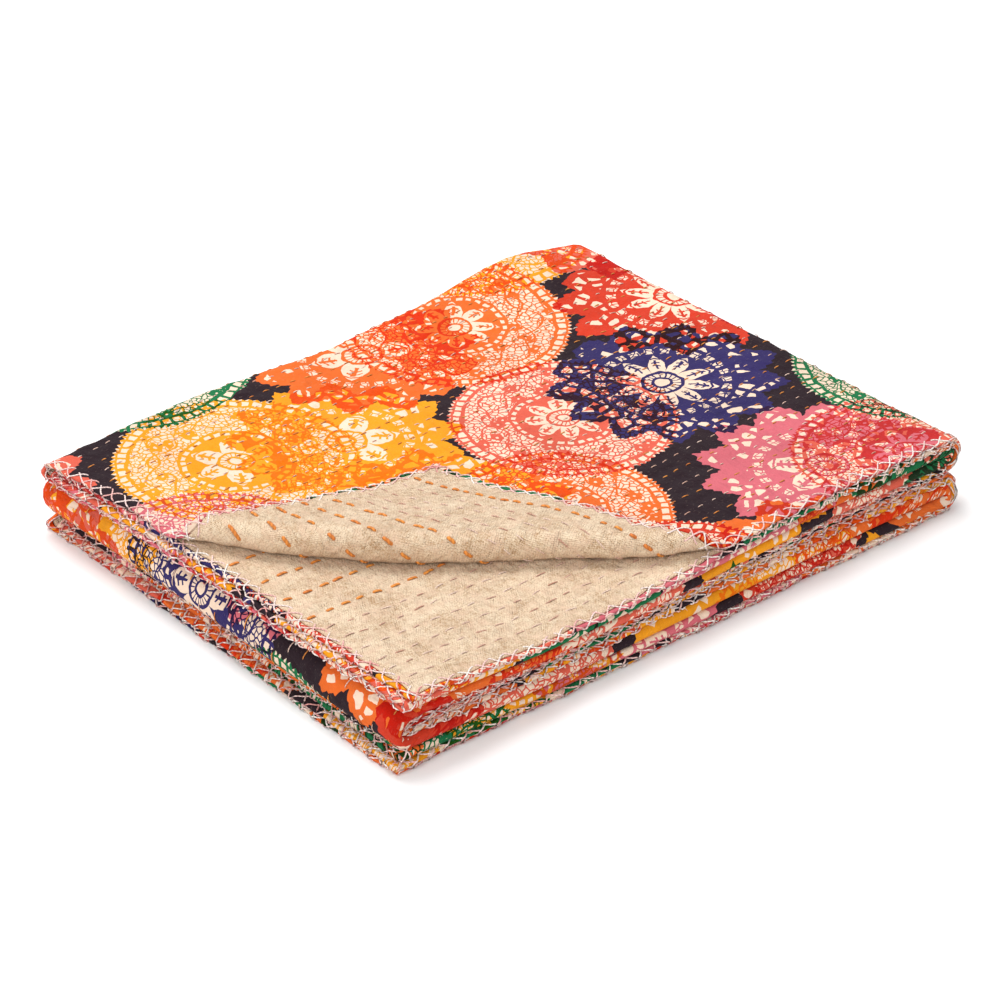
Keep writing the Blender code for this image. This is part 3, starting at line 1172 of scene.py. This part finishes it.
class Graph:
    """The nodes of one material, drawn up as sums."""

    def __init__(self, name: str) -> None:
        """Starts a material with nothing but its shader and output.

        Args:
            name: The material's name.
        """
        self.material = bpy.data.materials.new(name)
        self.material.use_nodes = True
        self.tree = self.material.node_tree
        self.tree.nodes.clear()
        output = self.tree.nodes.new("ShaderNodeOutputMaterial")
        self.shader = self.tree.nodes.new("ShaderNodeBsdfPrincipled")
        self.tree.links.new(self.shader.outputs["BSDF"], output.inputs["Surface"])

    def plug(self, value: Union[Value, Socket, tuple], socket: Socket) -> None:
        """Links a socket to another, or sets it.

        Args:
            value: The other socket, or a number, vector or colour.
            socket: The socket that takes it.
        """
        value = value.socket if isinstance(value, Number) else value
        if isinstance(value, bpy.types.NodeSocket):
            self.tree.links.new(value, socket)
        else:
            socket.default_value = value

    def node(self, kind: str, inputs: dict, **settings: object) -> bpy.types.Node:
        """A node with its settings and inputs.

        Args:
            kind: Blender's name for the node.
            inputs: What goes into its sockets, by name or number.
            **settings: Its other settings.

        Returns:
            The node.
        """
        node = self.tree.nodes.new(kind)
        for key, value in settings.items():
            setattr(node, key, value)
        for key, value in inputs.items():
            self.plug(value, node.inputs[key])
        return node

    def math(self, operation: str, first: Value, second: Value = 0.0) -> Number:
        """The result of one step of arithmetic."""
        node = self.node("ShaderNodeMath", {0: first, 1: second}, operation=operation)
        return Number(self, node.outputs[0])

    def vector(self, operation: str, first: object, second: object = (0.0, 0.0, 0.0)) -> Socket:
        """The result of one step of arithmetic on vectors."""
        return self.node("ShaderNodeVectorMath", {0: first, 1: second}, operation=operation).outputs[0]

    def scaled(self, vector: Socket, scale: float) -> Socket:
        """A vector made longer or shorter."""
        return self.node("ShaderNodeVectorMath", {0: vector, "Scale": scale}, operation="SCALE").outputs[0]

    def parts(self, vector: Socket) -> tuple[Number, Number, Number]:
        """A vector's three numbers."""
        first, second, third = self.node("ShaderNodeSeparateXYZ", {0: vector}).outputs
        return Number(self, first), Number(self, second), Number(self, third)

    def joined(self, x: Value, y: Value, z: Value = 0.0) -> Socket:
        """A vector of three numbers."""
        return self.node("ShaderNodeCombineXYZ", {0: x, 1: y, 2: z}).outputs[0]

    def cut(self) -> tuple[Number, Number, Number]:
        """The three marks that each point of a piece carries."""
        return self.parts(self.node("ShaderNodeAttribute", {}, attribute_name="cut").outputs["Vector"])

    def noise(self, places: Socket, scale: float, detail: float = 2.0, rough: float = 0.5) -> Number:
        """A cloudy number round 0.5."""
        inputs = {"Vector": places, "Scale": scale, "Detail": detail, "Roughness": rough}
        return Number(self, self.node("ShaderNodeTexNoise", inputs).outputs[0])

    def choose(self, share: Value, first: Value, second: Value) -> Number:
        """The first number where the share is 0, the second where it is 1."""
        node = self.node("ShaderNodeMix", {0: share, 2: first, 3: second}, data_type="FLOAT")
        return Number(self, node.outputs[0])

    def blend(self, share: Value, first: object, second: object, kind: str = "MIX") -> Socket:
        """One colour laid over another."""
        node = self.node("ShaderNodeMix", {0: share, 6: first, 7: second}, data_type="RGBA", blend_type=kind)
        return node.outputs[2]

    def shaded(self, colour: Socket, shade: Number) -> Socket:
        """A colour made darker or lighter by a number."""
        return self.blend(1.0, colour, self.joined(shade, shade, shade), "MULTIPLY")

    def weave(self, x: Number, y: Number, yarn: float) -> Number:
        """The height of a plain weave of yarns, from 0 to 1."""
        return (x * (math.tau / yarn)).sine() * (y * (math.tau / yarn)).sine() * 0.5 + 0.5

    def bumped(self, *heights: tuple[Number, float]) -> None:
        """Gives the shader its relief.

        Args:
            *heights: Heights from 0 to 1, each with its size in metres, the broadest first.
        """
        normal = {}
        for height, size in heights:
            inputs = {"Strength": 1.0, "Distance": size, "Height": height, **normal}
            normal = {"Normal": self.node("ShaderNodeBump", inputs).outputs["Normal"]}
        self.plug(normal["Normal"], self.shader.inputs["Normal"])

    def finish(
        self,
        colour: Union[Socket, Colour],
        roughness: float,
        sheen: float,
        sheen_roughness: float,
        shine: float,
    ) -> bpy.types.Material:
        """Sets the shader.

        Args:
            colour: The cloth's own colour.
            roughness: How matt it is.
            sheen: How much of a soft edge light its fluff gives.
            sheen_roughness: How wide that light spreads.
            shine: How much it mirrors.

        Returns:
            The material.
        """
        inputs = {
            "Base Color": colour,
            "Roughness": roughness,
            "Sheen Weight": sheen,
            "Sheen Roughness": sheen_roughness,
            "Specular IOR Level": shine,
            "Metallic": 0.0,
        }
        for name, value in inputs.items():
            self.plug(value, self.shader.inputs[name])
        return self.material


@dataclass(frozen=True)
class Inks:
    """The print's colours."""

    cloth: Colour = dye(240, 212, 188)
    ground: Colour = dye(42, 28, 34)
    orange: Colour = dye(240, 124, 50)
    coral: Colour = dye(230, 112, 100)
    rose: Colour = dye(222, 124, 156)
    yellow: Colour = dye(252, 184, 30)
    red: Colour = dye(218, 66, 42)
    green: Colour = dye(4, 132, 88)
    navy: Colour = dye(46, 44, 126)


@dataclass
class Motif:
    """The nearest round of a printing, as each place reads it.

    The share is how far out the place is, of the round's radius. The chance is the round's own. The chips,
    shards and lace are masks of what can stay cream in it, and a mask says whether it is a sun.
    """

    share: Number
    angle: Number
    chance: Number
    is_sun: Number
    chips: Number
    shards: Number
    lace: Number


@dataclass(frozen=True)
class Beads:
    """A ring of cream beads: from where to where, in shares of the radius, how many, and the gap's share."""

    low: float
    high: float
    count: int
    gap: float

    def cream(self, motif: Motif) -> Number:
        """Where the beads stay cream."""
        return motif.share.between(self.low, self.high) & (motif.angle.zigzag(self.count) > self.gap)


@dataclass(frozen=True)
class Flower:
    """A cream flower, with a vein and barbs of ink in each petal, round a spoked eye.

    Its size is a share of the round's radius. Its lengths are shares of its size, and its edges are shares
    of the way from between two petals to a petal's middle. The barbs' rate is an angle a radius.
    """

    size: float
    petal_choices: float = 3.0
    petal_step: float = 2.0
    fewest_petals: float = 6.0
    notch: float = 0.34
    heart: float = 0.40
    vein: tuple[float, float] = (0.48, 0.84)
    vein_edge: float = 0.88
    barbs_begin: float = 0.52
    barb_edge: float = 0.62
    barb_slant: float = 0.05
    barb_rate: float = 110.0
    barb_gap: float = 0.45
    pupil: float = 0.13
    eye_ring: tuple[float, float] = (0.20, 0.33)
    spokes: int = 18
    spoke_gap: float = 0.30

    def cream(self, motif: Motif) -> Number:
        """Where the flower stays cream.

        Args:
            motif: The round that it lies in.

        Returns:
            1 where the cloth stays cream, and 0 elsewhere.
        """
        size, share = self.size, motif.share
        chosen = share.graph.math("FLOOR", motif.chance * self.petal_choices)
        swing = motif.angle.zigzag(chosen * self.petal_step + self.fewest_petals)
        outline = swing.power(0.5) * (size * (1 - self.notch)) + size * self.notch
        vein = (swing > self.vein_edge) & share.between(size * self.vein[0], size * self.vein[1])
        cross = ((share - swing * self.barb_slant) * self.barb_rate).sine()
        barbs = (cross > self.barb_gap) & (swing > self.barb_edge) & (share > size * self.barbs_begin)
        petals = share.between(size * self.heart, outline) & ~(vein | barbs)
        eye_ring = share.between(size * self.eye_ring[0], size * self.eye_ring[1])
        spoked = eye_ring & (motif.angle.zigzag(self.spokes) > self.spoke_gap)
        return petals | spoked | (share < size * self.pupil)


@dataclass(frozen=True)
class LaceRound:
    """A lace round, with two scrolls of ink, beaded rims and a flower. Sizes are shares of the radius."""

    field: tuple[float, float] = (0.47, 0.85)
    scrolls: tuple[tuple[float, float], ...] = ((0.62, 0.085), (0.69, -0.085))
    scroll_half: float = 0.011
    scroll_waves: float = 7.0
    rims: tuple[Beads, ...] = (
        Beads(0.405, 0.440, 30, 0.42),
        Beads(0.885, 0.945, 62, 0.34),
        Beads(0.965, 1.02, 110, 0.62),
    )
    flower: Flower = Flower(0.38)
    teeth: int = 96
    tooth: float = 0.030

    def edge(self, motif: Motif) -> Number:
        """How far out the ink reaches."""
        return motif.angle.zigzag(self.teeth) * -self.tooth + 1.0

    def cream(self, motif: Motif) -> Number:
        """Where the round stays cream.

        Args:
            motif: The round, as each place reads it.

        Returns:
            1 where the cloth stays cream, and 0 elsewhere.
        """
        stays = motif.share.between(*self.field) & motif.lace
        wave = (motif.angle * self.scroll_waves).cosine()
        for middle, swing in self.scrolls:
            away = motif.share.graph.math("ABSOLUTE", motif.share - (wave * swing + middle))
            stays = stays & ~(away < self.scroll_half)
        for rim in self.rims:
            stays = stays | rim.cream(motif)
        return stays | self.flower.cream(motif)


@dataclass(frozen=True)
class RayedSun:
    """A rayed sun of shards, with a ring of leaves and a flower. Sizes are shares of the radius."""

    band: tuple[float, float] = (0.60, 0.75)
    band_ray: float = 0.17
    leaves: Beads = Beads(0.475, 0.555, 26, 0.42)
    flower: Flower = Flower(0.45)
    tip: float = 1.02
    ray: float = 0.22
    ray_roundness: float = 0.8
    rays: int = 13
    teeth: int = 96
    tooth: float = 0.028

    def edge(self, motif: Motif) -> Number:
        """How far out the ink reaches."""
        rays = motif.angle.zigzag(self.rays).power(self.ray_roundness) * self.ray + (self.tip - self.ray)
        return rays + motif.angle.zigzag(self.teeth) * -self.tooth

    def cream(self, motif: Motif) -> Number:
        """Where the sun stays cream.

        Args:
            motif: The round, as each place reads it.

        Returns:
            1 where the cloth stays cream, and 0 elsewhere.
        """
        rays = motif.angle.zigzag(self.rays) * self.band_ray + self.band[1]
        shards = motif.share.between(self.band[0], rays) & motif.shards
        return shards | (self.leaves.cream(motif) & motif.chips) | self.flower.cream(motif)


@dataclass(frozen=True)
class Lace:
    """What fills the rounds: small chips, larger shards, and rosettes or drops with chips between them.

    The first three are the sizes of cells, and lengths in a cell are shares of its size. Shards_left_out
    and drops are shares of the cells. A rosette's petals part where their lobes are lower than slit.
    """

    chip: float = 0.0038
    shard: float = 0.0088
    rosette: float = 0.0135
    chip_line: float = 0.115
    shard_line: float = 0.20
    shards_left_out: float = 0.42
    petals: float = 5.0
    rim: float = 0.27
    petal: float = 0.060
    hole: float = 0.095
    slit: float = -0.80
    pupil: float = 0.045
    drop: float = 0.07
    drops: float = 0.40
    clear: float = 0.085

    def cells(self, g: Graph, places: Socket, size: float, feature: str) -> bpy.types.NodeOutputs:
        """Uneven cells of one size: their middles and chance numbers, or how far their edges are."""
        inputs = {"Vector": places, "Scale": 1 / size}
        return g.node("ShaderNodeTexVoronoi", inputs, voronoi_dimensions="2D", feature=feature).outputs

    def inside(self, g: Graph, places: Socket, size: float, line: float) -> Number:
        """1 in the cells of one size, and 0 on the lines between them."""
        return Number(g, self.cells(g, places, size, "DISTANCE_TO_EDGE")["Distance"]) > line

    def shards(self, g: Graph, places: Socket) -> Number:
        """Where shards stay cream."""
        chance, _, _ = g.parts(self.cells(g, places, self.shard, "F1")["Color"])
        return self.inside(g, places, self.shard, self.shard_line) & (chance > self.shards_left_out)

    def rosettes(self, g: Graph, places: Socket, chips: Number) -> Number:
        """Where lace stays cream: rosettes and solid drops, with chips between them.

        Args:
            g: The material.
            places: Places on the cloth.
            chips: 1 inside the chips.

        Returns:
            1 where the cloth stays cream.
        """
        cell = self.cells(g, places, self.rosette, "F1")
        distance = Number(g, cell["Distance"])
        first, second, _ = g.parts(cell["Color"])
        x, y, _ = g.parts(g.vector("SUBTRACT", places, cell["Position"]))
        lobes = ((g.math("ARCTAN2", y, x) + first * math.tau) * self.petals).cosine()
        rim = lobes * self.petal + self.rim
        petals = distance.between(self.hole, rim) & (lobes > self.slit)
        inner = g.choose(second < self.drops, petals | (distance < self.pupil), distance < self.drop)
        return inner | (chips & (distance > rim + self.clear))


@dataclass(frozen=True)
class Printing:
    """One printing of rounds on a square grid, each a little off its place and in an ink of its own.

    The grid is shifted, and turned by an angle. The inks' order follows the round's number both ways, by
    the steps, so that neighbours differ. A round lies anywhere in off_place of the spacing, and its radius
    is smallest of the one given and up to larger more.
    """

    shift: tuple[float, float]
    radius: float
    order: tuple[str, ...]
    steps: tuple[int, int]
    spacing: float = 0.158
    turn: float = 0.36
    off_place: float = 0.160
    smallest: float = 0.93
    larger: float = 0.12

    def motif(self, g: Graph, flat: Socket, lace: Lace) -> tuple[Motif, Number]:
        """The round that each place is nearest to.

        Args:
            g: The material.
            flat: Places on the flat cloth.
            lace: What fills the rounds.

        Returns:
            The round, and where it comes in the order of inks, from 0 to 1.
        """
        cosine, sine = math.cos(self.turn), math.sin(self.turn)
        moved = g.vector("ADD", flat, (*self.shift, 0.0))
        s, t, _ = g.parts(moved)
        counted = g.scaled(g.joined(s * cosine + t * sine, t * cosine + s * -sine), 1 / self.spacing)
        home = g.vector("FLOOR", counted)
        chance = g.node("ShaderNodeTexWhiteNoise", {"Vector": home}, noise_dimensions="2D").outputs["Color"]
        offset = g.scaled(g.vector("SUBTRACT", chance, (0.5, 0.5, 0.5)), self.off_place)
        rest = g.vector("SUBTRACT", g.vector("SUBTRACT", counted, home), (0.5, 0.5, 0.0))
        x, y, _ = g.parts(g.vector("SUBTRACT", rest, offset))
        first, second, third = g.parts(chance)
        radius = self.radius / self.spacing
        i, j, _ = g.parts(home)
        chips = lace.inside(g, moved, lace.chip, lace.chip_line)
        motif = Motif(
            share=g.math("SQRT", x * x + y * y) / (first * (self.larger * radius) + self.smallest * radius),
            angle=g.math("ARCTAN2", y, x) + third * math.tau,
            chance=second,
            is_sun=g.math("FLOORED_MODULO", i + j, 2.0) > 0.5,
            chips=chips,
            shards=lace.shards(g, moved),
            lace=lace.rosettes(g, moved, chips),
        )
        number = g.math("FLOORED_MODULO", i * self.steps[0] + j * self.steps[1], len(self.order))
        return motif, (number + 0.5) / len(self.order)

    def ink(self, g: Graph, place: Number, inks: Inks) -> Socket:
        """The ink at a place in the order, from 0 to 1.

        Args:
            g: The material.
            place: The place in the order.
            inks: The print's colours.

        Returns:
            The ink's colour.
        """
        ramp = g.node("ShaderNodeValToRGB", {0: place})
        ramp.color_ramp.interpolation = "CONSTANT"
        stops = ramp.color_ramp.elements
        while len(stops) < len(self.order):
            stops.new(0.5)
        for number, name in enumerate(self.order):
            stops[number].position = number / len(self.order)
            stops[number].color = getattr(inks, name)
        return ramp.outputs["Color"]


@dataclass(frozen=True)
class PrintedCotton:
    """The printed face: overprinted lace rounds and rayed suns with flowers, on a dark ground.

    Its scales are in clouds a metre. The print wanders a little off its drawing, as ink does on cloth.
    """

    inks: Inks = Inks()
    lace: Lace = Lace()
    lace_round: LaceRound = LaceRound()
    sun: RayedSun = RayedSun()
    printings: tuple[Printing, ...] = (
        Printing(
            shift=(0.060, 0.035),
            radius=0.077,
            order=("orange", "rose", "yellow", "green", "coral", "yellow", "red"),
            steps=(2, 3),
        ),
        Printing(
            shift=(0.139, 0.114),
            radius=0.075,
            order=("coral", "yellow", "navy", "green", "orange", "rose", "orange"),
            steps=(3, 2),
        ),
    )
    yarn: float = 0.00095
    yarn_relief: float = 0.00016
    yarn_shade: tuple[float, float] = (0.16, 0.90)
    wander: float = 0.0042
    wander_scale: float = 110.0
    ink_share: float = 0.99
    worn_scale: float = 22.0
    worn_clouds: tuple[float, float] = (0.3, 0.7)
    worn_shade: tuple[float, float] = (0.86, 1.08)
    slub_scale: float = 260.0
    slub_stretch: float = 6.0
    slub_line: float = 0.70
    slub_share: float = 0.08

    def printed(self, g: Graph, flat: Socket) -> Socket:
        """The rounds, printed over each other.

        Args:
            g: The material.
            flat: Places on the flat cloth.

        Returns:
            The print's colour.
        """
        colour: object = self.inks.cloth
        covered = None
        for printing in self.printings:
            motif, place = printing.motif(g, flat, self.lace)
            inside = motif.share < g.choose(motif.is_sun, self.lace_round.edge(motif), self.sun.edge(motif))
            cream = g.choose(motif.is_sun, self.lace_round.cream(motif), self.sun.cream(motif))
            inked = g.blend(1.0, colour, printing.ink(g, place, self.inks), "MULTIPLY")
            colour = g.blend((inside & ~cream) * self.ink_share, colour, inked)
            covered = inside if covered is None else covered | inside
        return g.blend(covered, self.inks.ground, colour)

    def build(self) -> bpy.types.Material:
        """Mixes the print.

        Returns:
            The material.
        """
        g = Graph("printed_cotton")
        x, y, _ = g.cut()
        plain = g.joined(x, y)
        drift = g.node("ShaderNodeTexNoise", {"Vector": plain, "Scale": self.wander_scale}).outputs["Color"]
        flat = g.vector("ADD", plain, g.scaled(g.vector("SUBTRACT", drift, (0.5, 0.5, 0.5)), self.wander))
        colour = self.printed(g, flat)
        cloudy = g.noise(plain, self.worn_scale, 4.0, 0.6)
        colour = g.shaded(colour, cloudy.ranged(*self.worn_clouds, *self.worn_shade))
        slubs = g.noise(g.joined(x, y * self.slub_stretch), self.slub_scale, 1.0) > self.slub_line
        colour = g.blend(slubs * self.slub_share, colour, self.inks.cloth)
        yarns = g.weave(x, y, self.yarn)
        colour = g.shaded(colour, yarns * self.yarn_shade[0] + self.yarn_shade[1])
        puckers = Puckers()
        g.bumped((puckers.height(g, x, y), puckers.size), (yarns, self.yarn_relief))
        return g.finish(colour, roughness=0.86, sheen=0.03, sheen_roughness=0.5, shine=0.10)


@dataclass(frozen=True)
class Puckers:
    """The small creases that quilting draws up between its rows.

    Rows, creases and swells each have a share of the height. Scales are in clouds a metre.
    """

    size: float = 0.0060
    row: float = 0.0130
    row_share: float = -0.045
    row_wander: float = 0.010
    wander_scale: float = 14.0
    crease_stretch: float = 1.9
    crease_scale: float = 62.0
    crease_share: float = 0.62
    swell_scale: float = 24.0
    swell_share: float = 0.55

    def height(self, g: Graph, x: Number, y: Number) -> Number:
        """The creases' height, from 0 to 1.

        Args:
            g: The material.
            x: Places along the quilt.
            y: Places across it.

        Returns:
            The height at each place.
        """
        flat = g.joined(x, y)
        creased = g.noise(g.joined(x * self.crease_stretch, y), self.crease_scale, 3.0, 0.55)
        swelled = g.noise(flat, self.swell_scale)
        wavy = y + g.noise(flat, self.wander_scale, 1.0) * self.row_wander
        rows = (wavy * (math.tau / self.row)).cosine()
        return rows * self.row_share + (creased * self.crease_share + swelled * self.swell_share)


@dataclass(frozen=True)
class Grain:
    """One unevenness of the plain cloth: its scale, in clouds a metre, and how much it counts in the tone."""

    scale: float
    detail: float
    rough: float
    share: float


@dataclass(frozen=True)
class BackingCotton:
    """The plain backing: coarse natural cotton with thick and thin yarns."""

    pale: Colour = dye(246, 223, 192)
    deep: Colour = dye(182, 140, 98)
    rosy: Colour = dye(233, 198, 168)
    yarn: float = 0.0013
    yarn_share: float = 0.26
    yarn_wander: float = 0.0020
    wander_scale: float = 60.0
    slub: Grain = Grain(1500.0, 2.0, 0.5, 0.75)
    slub_stretch: float = 0.14
    slub_shares: tuple[float, float] = (0.55, 0.45)
    mottled: Grain = Grain(34.0, 4.0, 0.6, 0.45)
    specks: Grain = Grain(880.0, 2.0, 0.7, 0.48)
    patches: Grain = Grain(210.0, 3.0, 0.6, 0.45)
    tones: tuple[float, float] = (0.99, 1.31)
    blush: Grain = Grain(95.0, 3.0, 0.7, 0.65)
    blushes: tuple[float, float] = (0.46, 0.66)
    pucker: float = 0.0090
    reliefs: tuple[float, float, float] = (0.0009, 0.00045, 0.00035)

    def build(self) -> bpy.types.Material:
        """Weaves the backing.

        Returns:
            The material.
        """
        g = Graph("backing_cotton")
        x, y, _ = g.cut()
        flat = g.joined(x, y)

        def clouds(grain: Grain, places: Socket = flat) -> Number:
            """The grain's clouds."""
            return g.noise(places, grain.scale, grain.detail, grain.rough)

        lengthwise = clouds(self.slub, g.joined(x * self.slub_stretch, y)) * self.slub_shares[0]
        slubs = lengthwise + clouds(self.slub, g.joined(x, y * self.slub_stretch)) * self.slub_shares[1]
        wander = g.noise(flat, self.wander_scale, 1.0) * self.yarn_wander
        weave = g.weave(x + wander, y + wander, self.yarn)
        patches = clouds(self.patches)
        tone = slubs * self.slub.share + clouds(self.mottled) * self.mottled.share
        tone = tone + clouds(self.specks) * self.specks.share + patches * self.patches.share
        tone = tone + weave * self.yarn_share
        colour = g.blend(tone.ranged(*self.tones), self.deep, self.pale)
        blush = clouds(self.blush).ranged(*self.blushes, to_high=self.blush.share)
        colour = g.blend(blush, colour, self.rosy)
        puckers = Puckers(size=self.pucker)
        g.bumped((puckers.height(g, x, y), puckers.size), *zip((patches, weave, slubs), self.reliefs))
        return g.finish(colour, roughness=0.90, sheen=0.15, sheen_roughness=0.6, shine=0.15)


@dataclass(frozen=True)
class ThreadFinish:
    """Plied cotton thread, in two colours that come and go along it.

    The twist is the length of one turn of its plies. By_stitch is how far each stitch has a tone of its own,
    and the drift is how the colours come and go.
    """

    name: str
    first: Colour
    second: Colour
    twist: float
    by_stitch: float
    plies: float = 2.0
    ply_relief: float = 0.00025
    ply_shade: tuple[float, float] = (0.30, 0.76)
    drift_scale: float = 2.6
    drift_along: float = 6.0
    drift_between: float = 40.0
    drifts: tuple[float, float] = (0.38, 0.62)

    def build(self) -> bpy.types.Material:
        """Twists the thread.

        Returns:
            The material.
        """
        g = Graph(self.name)
        along, turned, own = g.cut()
        ply = (along * (math.tau / self.twist) + turned * (self.plies * math.tau)).sine() * 0.5 + 0.5
        drift = g.noise(g.joined(along * self.drift_along, own * self.drift_between), self.drift_scale)
        share = g.choose(self.by_stitch, drift.ranged(*self.drifts), own)
        colour = g.blend(share, self.first, self.second)
        g.bumped((ply, self.ply_relief))
        colour = g.shaded(colour, ply * self.ply_shade[0] + self.ply_shade[1])
        return g.finish(colour, roughness=0.62, sheen=0.10, sheen_roughness=0.4, shine=0.35)


# ---- the quilt ------------------------------------------------------------------------------------


@dataclass
class KanthaQuilt:
    """The whole quilt: two cloths, their running stitches and the thread over their hems.

    The small stitches on the print have their rows evenly apart over the quilt's whole width.
    """

    pile: Pile = field(default_factory=Pile)
    backing_cut_back: float = 0.0035
    print_rows_apart: float = 0.0263

    def cloths(self) -> list[bpy.types.Object]:
        """The printed face and the plain backing.

        Returns:
            The two cloths.
        """
        inner = self.pile.between_cloths / 2
        outer = inner + self.pile.cloth
        printed = QuiltCloth("printed_cloth", self.pile, inner, outer, PrintedCotton().build(), 0.0, -outer)
        backing = QuiltCloth(
            "backing_cloth", self.pile, -outer, -inner, BackingCotton().build(), self.backing_cut_back, -outer
        )
        made = [printed.build(), backing.build()]
        for cloth, node in zip(made, ("printed_face", "plain_backing")):
            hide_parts(node)
        return made

    def running(self) -> list[bpy.types.Object]:
        """The running stitches, thick orange and thin pale and orange.

        Returns:
            A piece for each kind of stitch.
        """
        orange = ThreadFinish("orange_thread", dye(232, 150, 62), dye(204, 112, 42), 0.0030, 0.5).build()
        pale = ThreadFinish("pale_thread", dye(250, 222, 206), dye(216, 160, 138), 0.0018, 0.8).build()
        faded = ThreadFinish("faded_thread", dye(252, 226, 208), dye(202, 144, 120), 0.0018, 0.8).build()
        width, apart = self.pile.width, self.print_rows_apart
        thick_rows = (
            StitchRows(width - 0.171, 0.0235, 4, stitch=0.0078, gap=0.0044, seed=3),
            StitchRows(0.018, 0.050, 1, stitch=0.0066, gap=0.0042, seed=4),
            StitchRows(0.082, 0.0235, 5, stitch=0.0078, gap=0.0046, seed=5),
        )
        thin_rows = (
            StitchRows(width - 0.084, 0.0132, 6, stitch=0.0080, gap=0.0052, seed=6),
            StitchRows(0.032, 0.0126, 4, stitch=0.0080, gap=0.0052, seed=7),
        )
        orange_rows = (StitchRows(0.030, apart, int(width / apart), stitch=0.0050, gap=0.0056, seed=8),)
        pale_rows = (StitchRows(0.017, apart, int(width / apart), stitch=0.0046, gap=0.0060, seed=9),)
        sewn = (
            ("thick_orange_stitches", Thread(0.00112, 0.00056), orange, thick_rows, Face.BACKING, 11),
            ("thin_faded_stitches", Thread(0.00038, 0.00040), faded, thin_rows, Face.BACKING, 12),
            ("print_orange_stitches", Thread(0.00042, 0.00030), orange, orange_rows, Face.PRINT, 13),
            ("print_pale_stitches", Thread(0.00034, 0.00028), pale, pale_rows, Face.PRINT, 14),
        )
        return [RunningStitches(name, self.pile, *how).build() for name, *how in sewn]

    def edging(self) -> list[bpy.types.Object]:
        """The two threads that cross over the hems.

        Returns:
            The white thread and the pink one.
        """
        white = ThreadFinish("white_edge_thread", dye(255, 246, 238), dye(250, 214, 208), 0.0022, 0.0).build()
        pink = ThreadFinish("pink_edge_thread", dye(252, 220, 212), dye(236, 164, 158), 0.0022, 0.0).build()
        thread = Thread(0.00050, 0.00042, sides=5)
        there, back = Winding(True, 0.0), Winding(False, 0.5)
        again, home = Winding(True, 0.5), Winding(False, 0.0)
        return [
            EdgeThread("white_edge_stitches", self.pile, thread, white, (there, back)).build(),
            EdgeThread("pink_edge_stitches", self.pile, thread, pink, (again, home)).build(),
        ]

    def build(self) -> None:
        """Makes the quilt and logs how many faces each piece has."""
        printed, backing = self.cloths()
        threads = self.running() + self.edging()
        for cloth, others in ((printed, threads), (backing, [])):
            flat = (self.pile.width, self.pile.length)
            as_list(others)
        for piece in (printed, backing, *threads):
            log.info("%s: %d faces", piece.name, len(piece.data.polygons))


# ---- the studio -----------------------------------------------------------------------------------


@dataclass(frozen=True)
class SoftBox:
    """A large soft lamp: where it hangs, its size and its power. It faces the pile."""

    name: str
    place: tuple[float, float, float]
    size: float
    power: float


@dataclass(frozen=True)
class Studio:
    """A pale floor, soft light and the camera."""

    floor_size: float = 40.0
    floor_colour: Colour = (0.93, 0.93, 0.93, 1.0)
    lens: float = 108.0
    sensor: float = 36.0
    sight: tuple[float, float] = (0.05, 20.0)
    camera_place: tuple[float, float, float] = (-1.05852, -1.21074, 0.94463)
    azimuth: float = math.radians(-41.0)
    elevation: float = math.radians(30.13)
    sky_colour: Colour = (1.0, 1.0, 1.0, 1.0)
    sky: float = 0.57
    lamps: tuple[SoftBox, ...] = (
        SoftBox("overhead_lamp", (0.30, 0.80, 1.9), 1.1, 36.0),
        SoftBox("left_lamp", (-1.9, -0.3, 1.1), 1.0, 17.0),
        SoftBox("front_lamp", (-0.2, -2.1, 1.1), 1.2, 10.0),
    )

    def floor(self) -> None:
        """The pale floor."""
        half = self.floor_size / 2
        mesh = bpy.data.meshes.new("floor")
        corners = [(x * half, y * half, 0.0) for x, y in ((-1, -1), (1, -1), (1, 1), (-1, 1))]
        mesh.from_pydata(corners, [], [(0, 1, 2, 3)])
        finish = Graph("pale_floor").finish(
            self.floor_colour, roughness=0.9, sheen=0.0, sheen_roughness=0.5, shine=0.1
        )
        mesh.materials.append(finish)
        floor = bpy.data.objects.new("floor", mesh)
        bpy.context.scene.collection.objects.link(floor)

    def light(self) -> None:
        """The sky's even light and the lamps."""
        world = bpy.data.worlds.new("studio")
        world.use_nodes = True
        background = world.node_tree.nodes["Background"]
        background.inputs["Color"].default_value = self.sky_colour
        background.inputs["Strength"].default_value = self.sky
        bpy.context.scene.world = world
        for box in self.lamps:
            lamp = bpy.data.lights.new(box.name, "AREA")
            lamp.shape, lamp.size, lamp.energy = "SQUARE", box.size, box.power
            holder = bpy.data.objects.new(box.name, lamp)
            holder.location = box.place
            holder.rotation_euler = (-Vector(box.place)).to_track_quat("-Z", "Y").to_euler()
            bpy.context.scene.collection.objects.link(holder)

    def camera(self) -> None:
        """The camera, looking down on the front corner."""
        data = bpy.data.cameras.new("camera")
        data.lens, data.sensor_width = self.lens, self.sensor
        data.clip_start, data.clip_end = self.sight
        camera = bpy.data.objects.new("camera", data)
        camera.location = self.camera_place
        camera.rotation_euler = Euler((math.pi / 2 - self.elevation, 0.0, self.azimuth))
        bpy.context.scene.collection.objects.link(camera)
        bpy.context.scene.camera = camera

    def build(self) -> None:
        """Sets up the floor, the light and the camera."""
        self.camera()
        self.floor()
        self.light()
        view = bpy.context.scene.view_settings
        view.view_transform = "Standard"
        view.look = "None"


def main() -> None:
    """Makes the studio and the quilt, and logs how many faces each piece of the quilt has."""
    logging.basicConfig(level=logging.INFO, format="%(name)s: %(message)s")
    Studio().build()
    KanthaQuilt().build()


if __name__ == "__main__":
    main()
